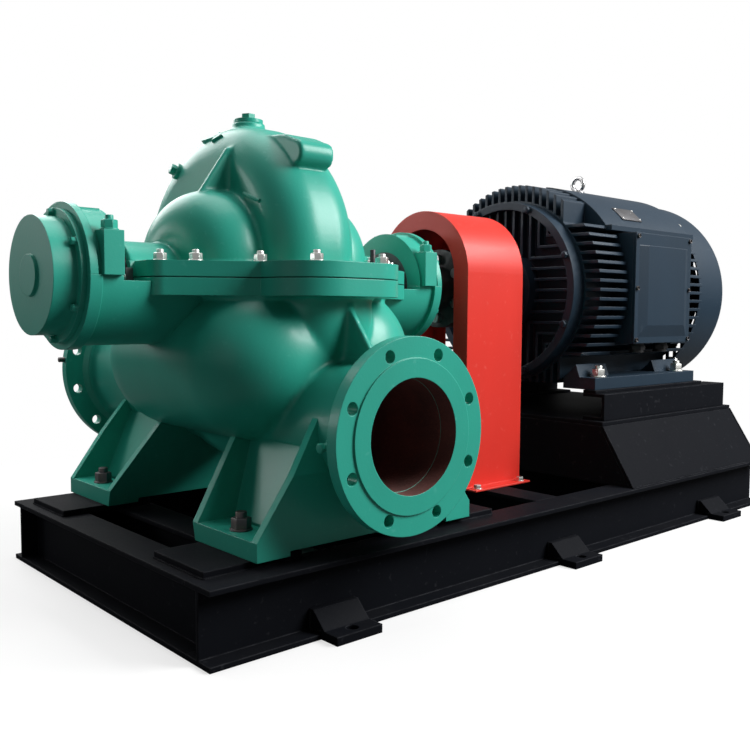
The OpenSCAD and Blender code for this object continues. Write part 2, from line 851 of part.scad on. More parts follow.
// Half round bracket from the casing's end to the bearing housing on the +X side
module bracket() {
    trough_top = -8;
    root_x = chamber_half - chamber_round / 2;
    ring_t = 22;
    lower_half() difference() {
        union() {
            translate([root_x, 0, 0]) along_x() cylinder(h = housing_end - root_x, r = bracket_r);
            translate([housing_end - ring_t, 0, 0]) along_x() cylinder(h = ring_t, r = housing_r);
        }
        translate([root_x - cut, 0, 0]) along_x()
            cylinder(h = housing_start - root_x + cut, r = bracket_r - bracket_wall);
        translate([root_x - cut, -far / 2, trough_top]) cube([housing_start - root_x + cut, far, far]);
        translate([root_x - cut, -far / 2, -split_low_t - seat_gap])
            cube([split_end + seat_gap - root_x + cut, far, far]);
        translate([housing_start - cut, 0, 0]) along_x() cylinder(h = housing_len + 2 * cut, r = bearing_r);
    }
}

module bearing_brackets() {
    color(pump_green) at_pump() difference() {
        both_ends() bracket();
        lower_chamber(seat_gap);
    }
}

// Upper half of a bearing housing on the +X side, with a lug for a cap bolt on each side
module bearing_cap() {
    lug_h = 75;
    lug_x = housing_start + 4;
    lug_len = 36;
    lug_y = 36;
    boss_half = 38;
    upper_half() difference() {
        union() {
            translate([housing_start, 0, 0]) along_x() cylinder(h = housing_len, r = bracket_r);
            translate([housing_end - 14, 0, 0]) along_x() cylinder(h = 14, r = housing_r);
            translate([lug_x, -boss_half, 0]) cube([lug_len, 2 * boss_half, housing_r - 10]);
            for (side = [-1, 1])
                translate([lug_x, side * (bracket_r - 6) - lug_y / 2, 0]) cube([lug_len, lug_y, lug_h]);
        }
        translate([housing_start - cut, 0, 0]) along_x() cylinder(h = housing_len + 2 * cut, r = bearing_r);
    }
}

module far_bearing_cap() {
    color(pump_green) at_pump() mirror([1, 0, 0]) bearing_cap();
}

module drive_bearing_cap() {
    color(pump_green) at_pump() bearing_cap();
}

module far_end_cover() {
    boss_r = 36;
    color(pump_green) at_pump() mirror([1, 0, 0]) translate([housing_end, 0, 0]) along_x()
        difference() {
            union() {
                cylinder(h = 10, r = cover_r + 14);
                cylinder(h = cover_len, r = cover_r);
                cylinder(h = cover_len + 5, r = boss_r);
            }
            translate([0, 0, -cut]) cylinder(h = cover_len - 12 + cut, r = pass_r);
        }
}

module drive_end_cover() {
    color(pump_green) at_pump() translate([housing_end, 0, 0]) along_x()
        difference() {
            union() {
                cylinder(h = 10, r = cover_r + 14);
                cylinder(h = drive_cover_len, r = cover_r);
            }
            translate([0, 0, -cut]) cylinder(h = drive_cover_len + 2 * cut, r = pass_r);
        }
}

// Bearing ring that fills the housing round the shaft, on the +X side
module bearing() {
    translate([housing_start, 0, 0]) along_x() difference() {
        cylinder(h = housing_len, r = bearing_r - hub_gap);
        translate([0, 0, -cut]) cylinder(h = housing_len + 2 * cut, r = shaft_r + running_gap);
    }
}

module far_bearing() {
    color(steel) at_pump() mirror([1, 0, 0]) bearing();
}

module drive_bearing() {
    color(steel) at_pump() bearing();
}

// Gland on the +X side: a flanged ring with an ear for a stud on each side
module gland() {
    ear_y = 74;
    translate([stuffing_end, 0, 0]) along_x() difference() {
        union() {
            cylinder(h = gland_len, r = 52);
            cylinder(h = 14, r = 58);
            translate([-16, -ear_y, 0]) cube([32, 2 * ear_y, 14]);
        }
        translate([0, 0, -cut]) cylinder(h = gland_len + 2 * cut, r = pass_r);
    }
}

module far_gland() {
    color(steel) at_pump() mirror([1, 0, 0]) gland();
}

module drive_gland() {
    color(steel) at_pump() gland();
}

module pump_shaft() {
    free_end = housing_end + cover_len - 20;
    color(steel) at_pump() translate([-free_end, 0, 0]) along_x()
        cylinder(h = free_end + coupling_x - coupling_gap / 2, r = shaft_r);
}

module slinger_rings() {
    color(pump_green) at_pump() both_ends() translate([slinger_x, 0, 0]) along_x()
        difference() {
            union() {
                cylinder(h = slinger_t, r = slinger_r, center = true);
                cylinder(h = 2 * slinger_t, r = shaft_r + 8, center = true);
            }
            cylinder(h = far, r = shaft_r + hub_gap, center = true);
        }
}

// Coupling half on the +X side of the coupling's middle: a hub and a flange bored for the pins
module coupling_half(bore_r) {
    hub_wall = 22;
    along_x() difference() {
        union() {
            translate([0, 0, coupling_gap / 2]) cylinder(h = pin_flange, r = coupling_r);
            translate([0, 0, coupling_gap / 2]) cylinder(h = coupling_len, r = bore_r + hub_wall);
        }
        cylinder(h = far, r = bore_r + hub_gap);
        for (i = [0 : coupling_pins - 1])
            rotate(i * 360 / coupling_pins) translate([pin_circle, 0, 0]) cylinder(h = far, r = pin_r);
    }
}

module coupling_pump_half() {
    color(motor_slate) translate([pump_x + coupling_x, 0, shaft_z]) mirror([1, 0, 0]) coupling_half(shaft_r);
}

module coupling_motor_half() {
    color(motor_slate) translate([pump_x + coupling_x, 0, shaft_z]) coupling_half(motor_shaft_r);
}

module coupling_pins_set() {
    pin_len = 2 * pin_flange + coupling_gap + 2 * pin_r;
    color(steel) translate([pump_x + coupling_x, 0, shaft_z]) along_x()
        for (i = [0 : coupling_pins - 1])
            rotate(i * 360 / coupling_pins) translate([pin_circle, 0, 0])
                cylinder(h = pin_len, r = pin_r - hub_gap, center = true);
}

// Arched outline of the guard, from the base up, drawn across the shaft
module guard_outline(inset) {
    half = guard_half_w - inset;
    arch_z = shaft_z + guard_rise;
    translate([0, arch_z]) circle(half);
    translate([-half, beam_h - cut * (inset > 0 ? 1 : 0)]) square([2 * half, arch_z - beam_h + cut]);
}

module coupling_guard() {
    color(guard_red) translate([pump_x + guard_start, 0, 0]) {
        rotate([90, 0, 90]) difference() {
            linear_extrude(guard_len) guard_outline(0);
            translate([0, 0, guard_sheet]) linear_extrude(guard_len - 2 * guard_sheet) guard_outline(guard_sheet);
            translate([0, 0, -cut]) linear_extrude(guard_len + 2 * cut) guard_outline(guard_border);
        }
        for (side = [0, 1]) mirror([0, side, 0])
            translate([0, guard_half_w, beam_h]) cube([guard_len, guard_foot, guard_sheet]);
    }
}

// Places a shape drawn round the motor's axis at the frame's drive end
module at_motor() {
    translate([frame_x, 0, shaft_z]) children();
}

// Motor foot row on the front side with its web up to the frame
module motor_foot() {
    web_len = 130;
    web_in = 110;
    ledge = 46;
    foot_top = motor_foot_z + motor_foot_t;
    translate([foot_start, -motor_foot_out, motor_foot_z]) cube([motor_foot_len, motor_foot_w, motor_foot_t]);
    for (x = [foot_start, foot_start + motor_foot_len - web_len])
        translate([x, 0, 0]) rotate([90, 0, 90]) linear_extrude(web_len)
            polygon([
                [-motor_foot_out + ledge, foot_top - cut], [-web_in, foot_top - cut],
                [-web_in, shaft_z - frame_r * 0.7], [-frame_r * 0.8, shaft_z - frame_r * 0.6]
            ]);
}

// Smooth cast hood on the frame's upper front, with a lip along its lower edge above the terminal box
module frame_hood() {
    hood_r = fin_r + 4;
    hood_start = 92;
    lip_t = 14;
    lip_z = tbox_top + 6;
    reach = 2 * hood_r;
    edge_y = sqrt(hood_r * hood_r - lip_z * lip_z);
    at_motor() translate([hood_start, 0, 0]) rotate([90, 0, 90]) linear_extrude(frame_len - hood_start) {
        intersection() {
            difference() {
                circle(hood_r);
                circle(frame_r - 4);
            }
            polygon([[0, lip_z], [-reach, lip_z], [-reach, reach], [-reach * 0.14, reach], [0, 0]]);
        }
        translate([-edge_y - 8, lip_z]) square([60, lip_t]);
    }
}

// Two opposite quarters of the drawing, above and below the shaft
module upright_quarters(reach) {
    for (side = [-1, 1]) polygon([[0, 0], [-reach, side * reach], [reach, side * reach]]);
}

// Parallel slats that stand upright above and below the shaft and lie flat on both sides of it
module slats(pitch, thick, reach, core_r) {
    count = floor((core_r * cos(45) - thick / 2) / pitch);
    for (turn = [0, 90]) rotate(turn) intersection() {
        upright_quarters(reach);
        for (i = [-count : count]) translate([i * pitch - thick / 2, -reach]) square([thick, 2 * reach]);
    }
}

// Section of the frame across the shaft: a round core with fins, cut off above the rails
module frame_section() {
    foot_clear = 10;
    intersection() {
        union() {
            circle(frame_r);
            intersection() {
                circle(fin_r);
                slats(fin_pitch, fin_t, fin_r, frame_r);
            }
        }
        translate([-far / 2, -motor_h + foot_clear]) square(far);
    }
}

module motor_frame() {
    pocket_gap = 3;
    color(motor_slate) {
        difference() {
            union() {
                at_motor() rotate([90, 0, 90]) linear_extrude(frame_len) frame_section();
                frame_hood();
                translate([eye_x, 0, shaft_z]) cylinder(h = eye_seat, r = eye_pad_r);
            }
            translate([tbox_x - pocket_gap, -far - tbox_back, tbox_z - pocket_gap])
                cube([tbox_len + 2 * pocket_gap, far, tbox_h + 2 * pocket_gap]);
            translate([tbox_x - pocket_gap, -far - gland_back, tbox_z - gland_drop - pocket_gap])
                cube([tbox_len + 2 * pocket_gap, far, tbox_h]);
            at_motor() along_x() cylinder(h = far, r = motor_shaft_r + pass_gap, center = true);
        }
    }
}

module motor_feet() {
    color(motor_slate) difference() {
        for (side = [0, 1]) mirror([0, side, 0]) motor_foot();
        at_motor() translate([-cut, 0, 0]) along_x() cylinder(h = frame_len + 2 * cut, r = fin_r + seat_gap);
    }
}

module motor_drive_shield() {
    hub_r = 104;
    hub_out = 12;
    rim_t = 20;
    floor_t = 10;
    rib_t = 7;
    color(motor_slate) translate([motor_x, 0, shaft_z]) rotate([90, 0, 90]) difference() {
        union() {
            translate([0, 0, shield_t - floor_t]) cylinder(h = floor_t, r = shield_r);
            linear_extrude(shield_t) difference() {
                circle(shield_r);
                circle(shield_r - rim_t);
            }
            translate([0, 0, -hub_out]) cylinder(h = shield_t + hub_out, r = hub_r);
            translate([0, 0, shield_t / 3]) linear_extrude(shield_t / 2) intersection() {
                difference() {
                    circle(shield_r - rim_t / 2);
                    circle(hub_r - rim_t / 2);
                }
                slats(fin_pitch * 1.2, rib_t, shield_r, shield_r - rim_t);
            }
        }
        translate([0, 0, -far / 2]) cylinder(h = far, r = motor_shaft_r + running_gap);
    }
}

module motor_bearing_cap() {
    cap_t = 18;
    cap_r = 84;
    hub_out = 12;
    color(motor_slate) translate([motor_x - hub_out - cap_t, 0, shaft_z]) along_x() difference() {
        cylinder(h = cap_t, r = cap_r);
        translate([0, 0, -cut]) cylinder(h = cap_t + 2 * cut, r = motor_shaft_r + pass_gap);
    }
}

module motor_far_shield() {
    color(motor_slate) translate([cowl_x, 0, shaft_z]) along_x() difference() {
        cylinder(h = far_shield_t, r = shield_r);
        translate([0, 0, -cut]) cylinder(h = far_shield_t + 2 * cut, r = motor_shaft_r + running_gap);
    }
}

module motor_shaft() {
    shaft_start = pump_x + coupling_x + coupling_gap / 2;
    shaft_end = cowl_x + cowl_len - 60;
    color(steel) translate([shaft_start, 0, shaft_z]) along_x() cylinder(h = shaft_end - shaft_start, r = motor_shaft_r);
}

module motor_fan() {
    hub_r = 70;
    blade_r = cowl_r - cowl_sheet - cowl_round;
    blades = 8;
    color(motor_slate) translate([cowl_x + far_shield_t + 12, 0, shaft_z]) along_x() difference() {
        union() {
            cylinder(h = 60, r = hub_r);
            cylinder(h = 5, r = blade_r - 30);
            for (i = [0 : blades - 1])
                rotate(i * 360 / blades) translate([hub_r - 5, -3, 0]) cube([blade_r - hub_r, 6, 58]);
        }
        translate([0, 0, -cut]) cylinder(h = far, r = motor_shaft_r + hub_gap);
    }
}

// Cowl section, drawn as radius against length, with a rounded back corner
module cowl_section(inset) {
    outer = cowl_r - inset;
    length = cowl_len - inset;
    round_r = cowl_round - inset;
    square([outer, length - round_r]);
    square([outer - round_r, length]);
    translate([outer - round_r, length - round_r]) circle(round_r);
}

module fan_cowl() {
    slot_w = 14;
    slot_pitch = 24;
    grille_r = cowl_r - cowl_round - 14;
    slots = floor(grille_r / slot_pitch);
    color(motor_slate) translate([cowl_x, 0, shaft_z]) along_x() difference() {
        rotate_extrude() cowl_section(0);
        translate([0, 0, -cut]) rotate_extrude() translate([0, cut]) cowl_section(cowl_sheet);
        translate([0, 0, -cut]) cylinder(h = 2 * cut, r = cowl_r - cowl_sheet);
        for (i = [-slots : slots]) {
            half = sqrt(grille_r * grille_r - pow(i * slot_pitch, 2));
            translate([-half, i * slot_pitch - slot_w / 2, cowl_len - cowl_sheet - cut])
                cube([2 * half, slot_w, cowl_sheet + 2 * cut]);
        }
    }
}

module terminal_box() {
    color(motor_slate) translate([tbox_x, -tbox_reach + tbox_lid_t, tbox_z])
        cube([tbox_len, tbox_reach - tbox_lid_t - tbox_back, tbox_h]);
}

module terminal_box_lid() {
    rim = 16;
    slope = 30;
    panel_t = 10;
    plate_y = -tbox_reach + panel_t;
    color(motor_slate) translate([tbox_x, 0, tbox_z]) {
        translate([0, plate_y, 0]) cube([tbox_len, tbox_lid_t - panel_t, tbox_h]);
        intersection() {
            linear_extrude(tbox_h - 2 * rim) polygon([
                [rim, plate_y], [rim + slope, -tbox_reach], [tbox_len - rim - slope, -tbox_reach], [tbox_len - rim, plate_y]
            ]);
            rotate([90, 0, 90]) linear_extrude(tbox_len) polygon([
                [plate_y, rim], [-tbox_reach, rim + slope], [-tbox_reach, tbox_h - rim - slope / 2],
                [plate_y, tbox_h - rim]
            ]);
        }
    }
}

module cable_glands() {
    gland_y = -tbox_reach + tbox_lid_t + 34;
    color(motor_slate)
        for (x = [0.3, 0.72])
            translate([tbox_x + x * tbox_len, gland_y, tbox_z - gland_drop]) {
                cylinder(h = gland_drop, r = 18);
                translate([0, 0, 8]) cylinder(h = 10, r = 22, $fn = 6);
            }
}

module eye_bolt() {
    ring_r = 18;
    bar_r = 6;
    collar_h = 6;
    color(steel) translate([eye_x, 0, shaft_z + eye_seat]) {
        cylinder(h = collar_h, r = eye_pad_r - 5);
        cylinder(h = 2 * collar_h, r = bar_r + 2);
        translate([0, 0, 2 * collar_h + ring_r - bar_r / 2]) along_x()
            rotate_extrude() translate([ring_r, 0]) circle(bar_r);
    }
}

base_front_beam();
base_back_beam();
base_pump_end_beam();
base_motor_end_beam();
base_cross_beams();
anchor_lugs();
pump_sole_plates();
pedestal_front_plate();
pedestal_back_plate();
pedestal_pump_end_plate();
pedestal_motor_end_plate();
pedestal_top_plate();
motor_rails();
motor_shims();
lower_casing();
discharge_nozzle();
suction_nozzle();
pump_legs();
bearing_brackets();
upper_casing();
vent_plug();
far_bearing_cap();
drive_bearing_cap();
far_end_cover();
drive_end_cover();
far_bearing();
drive_bearing();
far_gland();
drive_gland();
pump_shaft();
slinger_rings();
coupling_pump_half();
coupling_motor_half();
coupling_pins_set();
coupling_guard();
motor_frame();
motor_feet();
motor_drive_shield();
motor_bearing_cap();
motor_far_shield();
motor_shaft();
motor_fan();
fan_cowl();
terminal_box();
terminal_box_lid();
cable_glands();
eye_bolt();
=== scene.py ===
"""Looks of a horizontal split case pump set: cast pump, finned motor, red guard and black beam base."""

import json
import math

import bmesh
import bpy
from mathutils import Matrix, Vector


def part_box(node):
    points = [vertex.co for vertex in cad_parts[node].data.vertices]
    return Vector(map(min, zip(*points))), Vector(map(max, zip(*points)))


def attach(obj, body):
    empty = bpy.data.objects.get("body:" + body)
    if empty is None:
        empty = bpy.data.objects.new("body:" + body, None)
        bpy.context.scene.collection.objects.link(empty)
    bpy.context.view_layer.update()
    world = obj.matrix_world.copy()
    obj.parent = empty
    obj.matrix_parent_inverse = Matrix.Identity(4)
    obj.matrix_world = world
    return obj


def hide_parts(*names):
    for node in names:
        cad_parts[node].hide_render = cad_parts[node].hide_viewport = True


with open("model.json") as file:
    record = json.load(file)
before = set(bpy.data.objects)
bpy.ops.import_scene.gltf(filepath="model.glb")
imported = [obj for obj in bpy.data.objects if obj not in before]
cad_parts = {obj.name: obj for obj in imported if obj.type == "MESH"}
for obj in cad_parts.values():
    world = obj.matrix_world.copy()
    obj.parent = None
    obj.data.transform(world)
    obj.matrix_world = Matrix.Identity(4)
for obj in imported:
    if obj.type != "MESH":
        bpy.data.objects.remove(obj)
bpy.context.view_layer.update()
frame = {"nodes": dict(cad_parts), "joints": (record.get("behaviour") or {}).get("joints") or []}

MM = 0.001
SHAFT_Z = frame["joints"][0]["pos_m"][2]
PUMP_X = sum(corner.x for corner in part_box("discharge_nozzle")) / 2
UP = Vector((0, 0, 1))
FRONT = Vector((0, -1, 0))
PUMP_END = Vector((-1, 0, 0))
SIDES = (-1, 1)


# Camera

CAMERA_PLACE = Vector((-1.5636, -1.5058, 0.5388))
CAMERA_YAW = math.radians(41.70)
CAMERA_PITCH = math.radians(4.09)
CAMERA_ROLL = math.radians(0.33)
CAMERA_LENS = 41.57
SENSOR_WIDTH = 36


def set_camera():
    """A camera at the photograph's place, turned by yaw, pitch and roll."""
    yaw, pitch, roll = CAMERA_YAW, CAMERA_PITCH, CAMERA_ROLL
    ahead = Vector((math.sin(yaw) * math.cos(pitch), math.cos(yaw) * math.cos(pitch), -math.sin(pitch)))
    right = Vector((math.cos(yaw), -math.sin(yaw), 0))
    above = right.cross(ahead)
    tilted_right = right * math.cos(roll) + above * math.sin(roll)
    tilted_above = above * math.cos(roll) - right * math.sin(roll)
    turn = Matrix((tilted_right, tilted_above, -ahead)).transposed().to_4x4()
    data = bpy.data.cameras.new("photo_camera")
    data.lens = CAMERA_LENS
    data.sensor_width = SENSOR_WIDTH
    camera = bpy.data.objects.new("photo_camera", data)
    bpy.context.scene.collection.objects.link(camera)
    camera.matrix_world = Matrix.Translation(CAMERA_PLACE) @ turn
    bpy.context.scene.camera = camera


# Node trees

BEVEL_SAMPLES = 6
# How far a rounded normal leaves the plain one where an edge begins, and where it is full.
EDGE_TURN = (0.01, 0.25)


class Wire:
    """A node's output that can stand in sums: an expression adds the Math nodes that work it out."""

    def __init__(self, finish, socket):
        self.finish = finish
        self.socket = socket

    def math(self, operation, first, second):
        return self.finish.node("ShaderNodeMath", {"operation": operation}, {0: first, 1: second})

    def __add__(self, other):
        return self.math("ADD", self, other)

    __radd__ = __add__

    def __sub__(self, other):
        return self.math("SUBTRACT", self, other)

    def __rsub__(self, other):
        return self.math("SUBTRACT", other, self)

    def __mul__(self, other):
        return self.math("MULTIPLY", self, other)

    __rmul__ = __mul__

    def larger(self, other):
        return self.math("MAXIMUM", self, other)


class Finish:
    """A node tree, filled node by node."""

    def __init__(self, tree):
        self.tree = tree
        tree.nodes.clear()

    def node(self, kind, settings=None, inputs=None, output=0):
        """Adds a node: its settings first, then values or wires for its sockets. Gives one of its outputs."""
        node = self.tree.nodes.new(kind)
        for name, value in (settings or {}).items():
            setattr(node, name, value)
        for name, value in (inputs or {}).items():
            if isinstance(value, Wire):
                self.tree.links.new(value.socket, node.inputs[name])
            else:
                node.inputs[name].default_value = value
        return Wire(self, node.outputs[output]) if node.outputs else None

    def vector(self, operation, inputs, output=0):
        """Vector maths on wires or values."""
        return self.node("ShaderNodeVectorMath", {"operation": operation}, dict(enumerate(inputs)), output)

    def place(self):
        """The point's place on the piece."""
        return self.node("ShaderNodeTexCoord", output="Object")

    def part(self, vector, axis):
        """One of a vector's X, Y and Z."""
        return self.node("ShaderNodeSeparateXYZ", None, {0: vector}, output=axis)

    def ray(self, kind):
        """One for rays of a kind, zero for others."""
        return self.node("ShaderNodeLightPath", output=kind)

    def noise(self, scale, detail, stretch=None):
        """Soft noise over the piece, drawn out where stretch scales the coordinates."""
        spot = self.place()
        if stretch:
            spot = self.vector("MULTIPLY", (spot, stretch))
        return self.node("ShaderNodeTexNoise", None, {"Vector": spot, "Scale": scale, "Detail": detail})

    def rise(self, wire, low, high):
        """Zero below low, one above high, and a straight rise between."""
        return self.node("ShaderNodeMapRange", None, {"Value": wire, "From Min": low, "From Max": high})

    def mix(self, factor, first, second):
        """Two colours mixed by a factor."""
        return self.node("ShaderNodeMix", {"data_type": "RGBA"}, {0: factor, 6: first, 7: second}, output=2)

    def facing_up(self):
        """How much a surface looks upwards, from -1 to 1."""
        return self.part(self.node("ShaderNodeNewGeometry", output="Normal"), "Z")

    def rounded(self, radius):
        """The surface's normal with its edges rounded off, and how close a point lies to an edge."""
        soft = self.node("ShaderNodeBevel", {"samples": BEVEL_SAMPLES}, {"Radius": radius})
        plain = self.node("ShaderNodeNewGeometry", output="Normal")
        along = self.vector("DOT_PRODUCT", (soft, plain), output="Value")
        return soft, self.rise(1 - along, *EDGE_TURN)

    def bump(self, height, strength, depth, normal):
        """A normal with fine relief on top of it."""
        sockets = {"Height": height, "Strength": strength, "Distance": depth, "Normal": normal}
        return self.node("ShaderNodeBump", None, sockets)

    def surface(self, sockets):
        """The shader and the end of the tree."""
        shader = self.node("ShaderNodeBsdfPrincipled", None, sockets)
        self.node("ShaderNodeOutputMaterial", None, {"Surface": shader})


def new_finish(name):
    material = bpy.data.materials.new(name)
    material.use_nodes = True
    return material, Finish(material.node_tree)


def colour(red, green, blue):
    return (red, green, blue, 1)


def grey(level):
    return colour(level, level, level)


# Finishes

CLOUD_SCALE = 2.6
RUN_STRETCH = (14, 14, 2)
GRAIN_SCALE = 210
PEEL_SCALE = 900
SPECK_SCALE = 75
WEAR_SCALE = 38
DUST_SCALE = 9
DUST_GREY = colour(0.16, 0.15, 0.14)
TOOL_MARK_SCALE = 60
TARNISH_SCALE = 46
RUST_SCALE = 11
GRIT_SCALE = 190
LEATHER_SCALE = 700
SMEAR_SCALE = 14
METAL_EDGE = 1 * MM
BORE_EDGE = 2 * MM
TOOL_MARK_DEPTH = 0.2 * MM
GRIT_DEPTH = 1.2 * MM


def paint(name, base, deep, worn_and_edge_highlight, roughness, grain_depth, gloss, coat, edge, dust=0.0):
    """Sprayed enamel: clouded colour, cast grain and orange peel, lighter edges that are partly wear and
    partly painted highlight, and some dust on top.
    """
    material, finish = new_finish(name)
    clouds = finish.rise(finish.noise(CLOUD_SCALE, 5), 0.3, 0.7)
    runs = finish.rise(finish.noise(1.0, 4, RUN_STRETCH), 0.35, 0.75)
    grain = finish.noise(GRAIN_SCALE, 4)
    peel = finish.noise(PEEL_SCALE, 2)
    specks = finish.rise(finish.noise(SPECK_SCALE, 2), 0.66, 0.74)
    soft, near_edge = finish.rounded(edge)
    tone = finish.mix(clouds * 0.6 + runs * 0.25, base, deep)
    # Lighter colour near edges: partly worn paint, partly a painted highlight along the edges.
    chipped_and_highlit_edge = near_edge * finish.rise(finish.noise(WEAR_SCALE, 3), 0.3, 0.62)
    tone = finish.mix(chipped_and_highlit_edge * 0.35, tone, worn_and_edge_highlight)
    tone = finish.mix(specks * 0.12, tone, worn_and_edge_highlight)
    if dust:
        patches = finish.rise(finish.noise(DUST_SCALE, 5), 0.35, 0.75)
        settled = finish.rise(finish.facing_up(), 0.5, 0.95) * patches
        tone = finish.mix(settled * dust, tone, DUST_GREY)
    finish.surface({
        "Base Color": tone,
        "Roughness": roughness + 0.12 * (grain - 0.5) + 0.1 * clouds + 0.12 * specks,
        "Specular IOR Level": gloss,
        "Coat Roughness": 0.12,
        "Coat Weight": coat * (1 - clouds * 0.5),
        "Normal": finish.bump(grain + 0.25 * peel, 0.35, grain_depth, soft),
    })
    return material


def bare_metal(name, base, tarnish, roughness, brushing, metallic=1.0):
    """Machined or plated metal with faint tool marks and blotches of tarnish."""
    material, finish = new_finish(name)
    marks = finish.noise(TOOL_MARK_SCALE, 3, brushing)
    blotches = finish.rise(finish.noise(TARNISH_SCALE, 4), 0.4, 0.75)
    soft, near_edge = finish.rounded(METAL_EDGE)
    finish.surface({
        "Base Color": finish.mix(blotches * 0.6, base, tarnish),
        "Metallic": metallic,
        "Roughness": roughness + 0.22 * (marks - 0.5) + 0.12 * blotches - 0.06 * near_edge,
        "Normal": finish.bump(marks, 0.12, TOOL_MARK_DEPTH, soft),
    })
    return material


def rust_wash(name):
    """Inside of a nozzle: red primer and thin rust on rough cast iron."""
    material, finish = new_finish(name)
    patches = finish.rise(finish.noise(RUST_SCALE, 5), 0.32, 0.68)
    grit = finish.noise(GRIT_SCALE, 4)
    tone = finish.mix(patches, colour(0.17, 0.066, 0.056), colour(0.09, 0.046, 0.042))
    tone = finish.mix(finish.rise(grit, 0.58, 0.75) * 0.5, tone, colour(0.26, 0.11, 0.07))
    soft, _ = finish.rounded(BORE_EDGE)
    finish.surface({
        "Base Color": tone,
        "Roughness": 0.62 + 0.25 * (grit - 0.5),
        "Specular IOR Level": 0.25,
        "Normal": finish.bump(grit + 0.5 * patches, 0.5, GRIT_DEPTH, soft),
    })
    return material


def plastic(name, base, smudge_and_edge_highlight):
    """Moulded plastic with a fine leathery grain, lighter smudges and edges lightened as a painted highlight.
    """
    material, finish = new_finish(name)
    grain = finish.noise(LEATHER_SCALE, 3)
    smears = finish.rise(finish.noise(SMEAR_SCALE, 3), 0.35, 0.7)
    soft, near_edge = finish.rounded(METAL_EDGE)
    finish.surface({
        # Lighter smudges, and a painted highlight along the edges.
        "Base Color": finish.mix(smears * 0.5 + near_edge * 0.4, base, smudge_and_edge_highlight),
        "Roughness": 0.5 + 0.2 * (grain - 0.5),
        "Specular IOR Level": 0.35,
        "Normal": finish.bump(grain, 0.3, TOOL_MARK_DEPTH, soft),
    })
    return material


PUMP_GREEN = paint(
    "pump_green_enamel",
    base=colour(0.030, 0.400, 0.300), deep=colour(0.021, 0.300, 0.222), worn_and_edge_highlight=colour(0.16, 0.62, 0.52),
    roughness=0.31, grain_depth=0.4 * MM, gloss=0.32, coat=0.06, edge=2 * MM,
)
# Its lighter edge colour stands in partly for painted highlights along the beams' edges.
BASE_BLACK = paint(
    "base_black_paint",
    base=colour(0.0050, 0.0058, 0.0080), deep=colour(0.0068, 0.0075, 0.0098),
    worn_and_edge_highlight=colour(0.085, 0.088, 0.098),
    roughness=0.52, grain_depth=0.35 * MM, gloss=0.03, coat=0.0, edge=4 * MM, dust=0.02,
)
MOTOR_SLATE = paint(
    "motor_slate_enamel",
    base=colour(0.015, 0.031, 0.050), deep=colour(0.012, 0.024, 0.038), worn_and_edge_highlight=colour(0.09, 0.12, 0.16),
    roughness=0.38, grain_depth=0.3 * MM, gloss=0.2, coat=0.04, edge=3 * MM, dust=0.03,
)
GUARD_RED = paint(
    "guard_red_enamel",
    base=colour(0.70, 0.036, 0.024), deep=colour(0.58, 0.030, 0.020), worn_and_edge_highlight=colour(0.90, 0.20, 0.15),
    roughness=0.36, grain_depth=0.12 * MM, gloss=0.25, coat=0.05, edge=3 * MM,
)
ZINC = bare_metal(
    "zinc_plate", base=colour(0.74, 0.74, 0.71), tarnish=colour(0.46, 0.46, 0.44),
    roughness=0.34, brushing=(1, 1, 6),
)
STEEL = bare_metal(
    "turned_steel", base=colour(0.56, 0.56, 0.57), tarnish=colour(0.30, 0.29, 0.28),
    roughness=0.30, brushing=(20, 1, 1),
)
DARK_IRON = bare_metal(
    "dark_iron", base=colour(0.10, 0.10, 0.105), tarnish=colour(0.05, 0.045, 0.042),
    roughness=0.48, brushing=(2, 2, 2), metallic=0.7,
)
BLACK_OXIDE = bare_metal(
    "blackened_bolt", base=colour(0.07, 0.07, 0.075), tarnish=colour(0.16, 0.13, 0.10),
    roughness=0.42, brushing=(2, 2, 8),
)
BORE_RUST = rust_wash("nozzle_primer")
BLACK_PLASTIC = plastic("black_plastic", base=colour(0.012, 0.012, 0.013), smudge_and_edge_highlight=colour(0.03, 0.03, 0.032))


# Pieces

CRISP_ANGLE = math.radians(32)
TOUCH = 0.001 * MM
MERGE = 0.01 * MM
RIPPLE_PITCH = 1.15
RIPPLE_LENGTH = 0.85


def add_piece(name, shape, materials, body="stand", crisp=True):
    """Makes a bmesh a piece that rides on a body, with its finishes and its name."""
    mesh = bpy.data.meshes.new(name)
    shape.to_mesh(mesh)
    shape.free()
    for material in materials:
        mesh.materials.append(material)
    mesh.polygons.foreach_set("use_smooth", [True] * len(mesh.polygons))
    piece = bpy.data.objects.new(name, mesh)
    bpy.context.scene.collection.objects.link(piece)
    if crisp:
        split = piece.modifiers.new("crisp_edges", "EDGE_SPLIT")
        split.split_angle = CRISP_ANGLE
    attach(piece, body)
    return piece


def pointing(place, axis):
    """Puts a shape drawn along +Z at a place, turned to an axis."""
    turn = UP.rotation_difference(Vector(axis)).to_matrix().to_4x4()
    return Matrix.Translation(Vector(place)) @ turn


def at_pump(x, y, z):
    """A place given in millimetres from the pump's centre on the shaft."""
    return Vector((PUMP_X + x * MM, y * MM, SHAFT_Z + z * MM))


def shaft_ring(x, radius, count):
    """Places evenly spaced on a circle round the shaft line, each with its direction outwards."""
    ring = []
    for step in range(count):
        turn = math.radians(360 / count * (step + 0.5))
        out = Vector((0, math.cos(turn), math.sin(turn)))
        ring.append((Vector((x, 0, SHAFT_Z)) + out * radius, out))
    return ring


def scatter(shape, places):
    """One bmesh with a copy of a shape at every place."""
    pattern = bpy.data.meshes.new("pattern")
    shape.to_mesh(pattern)
    shape.free()
    joined = bmesh.new()
    for place in places:
        start = len(joined.verts)
        joined.from_mesh(pattern)
        joined.verts.ensure_lookup_table()
        bmesh.ops.transform(joined, matrix=place, verts=joined.verts[start:])
    bpy.data.meshes.remove(pattern)
    return joined


def round_off(shape, edges, width):
    """Bevels edges in two steps."""
    bmesh.ops.bevel(shape, geom=edges, offset=width, affect="EDGES", segments=2, profile=0.5, material=-1)


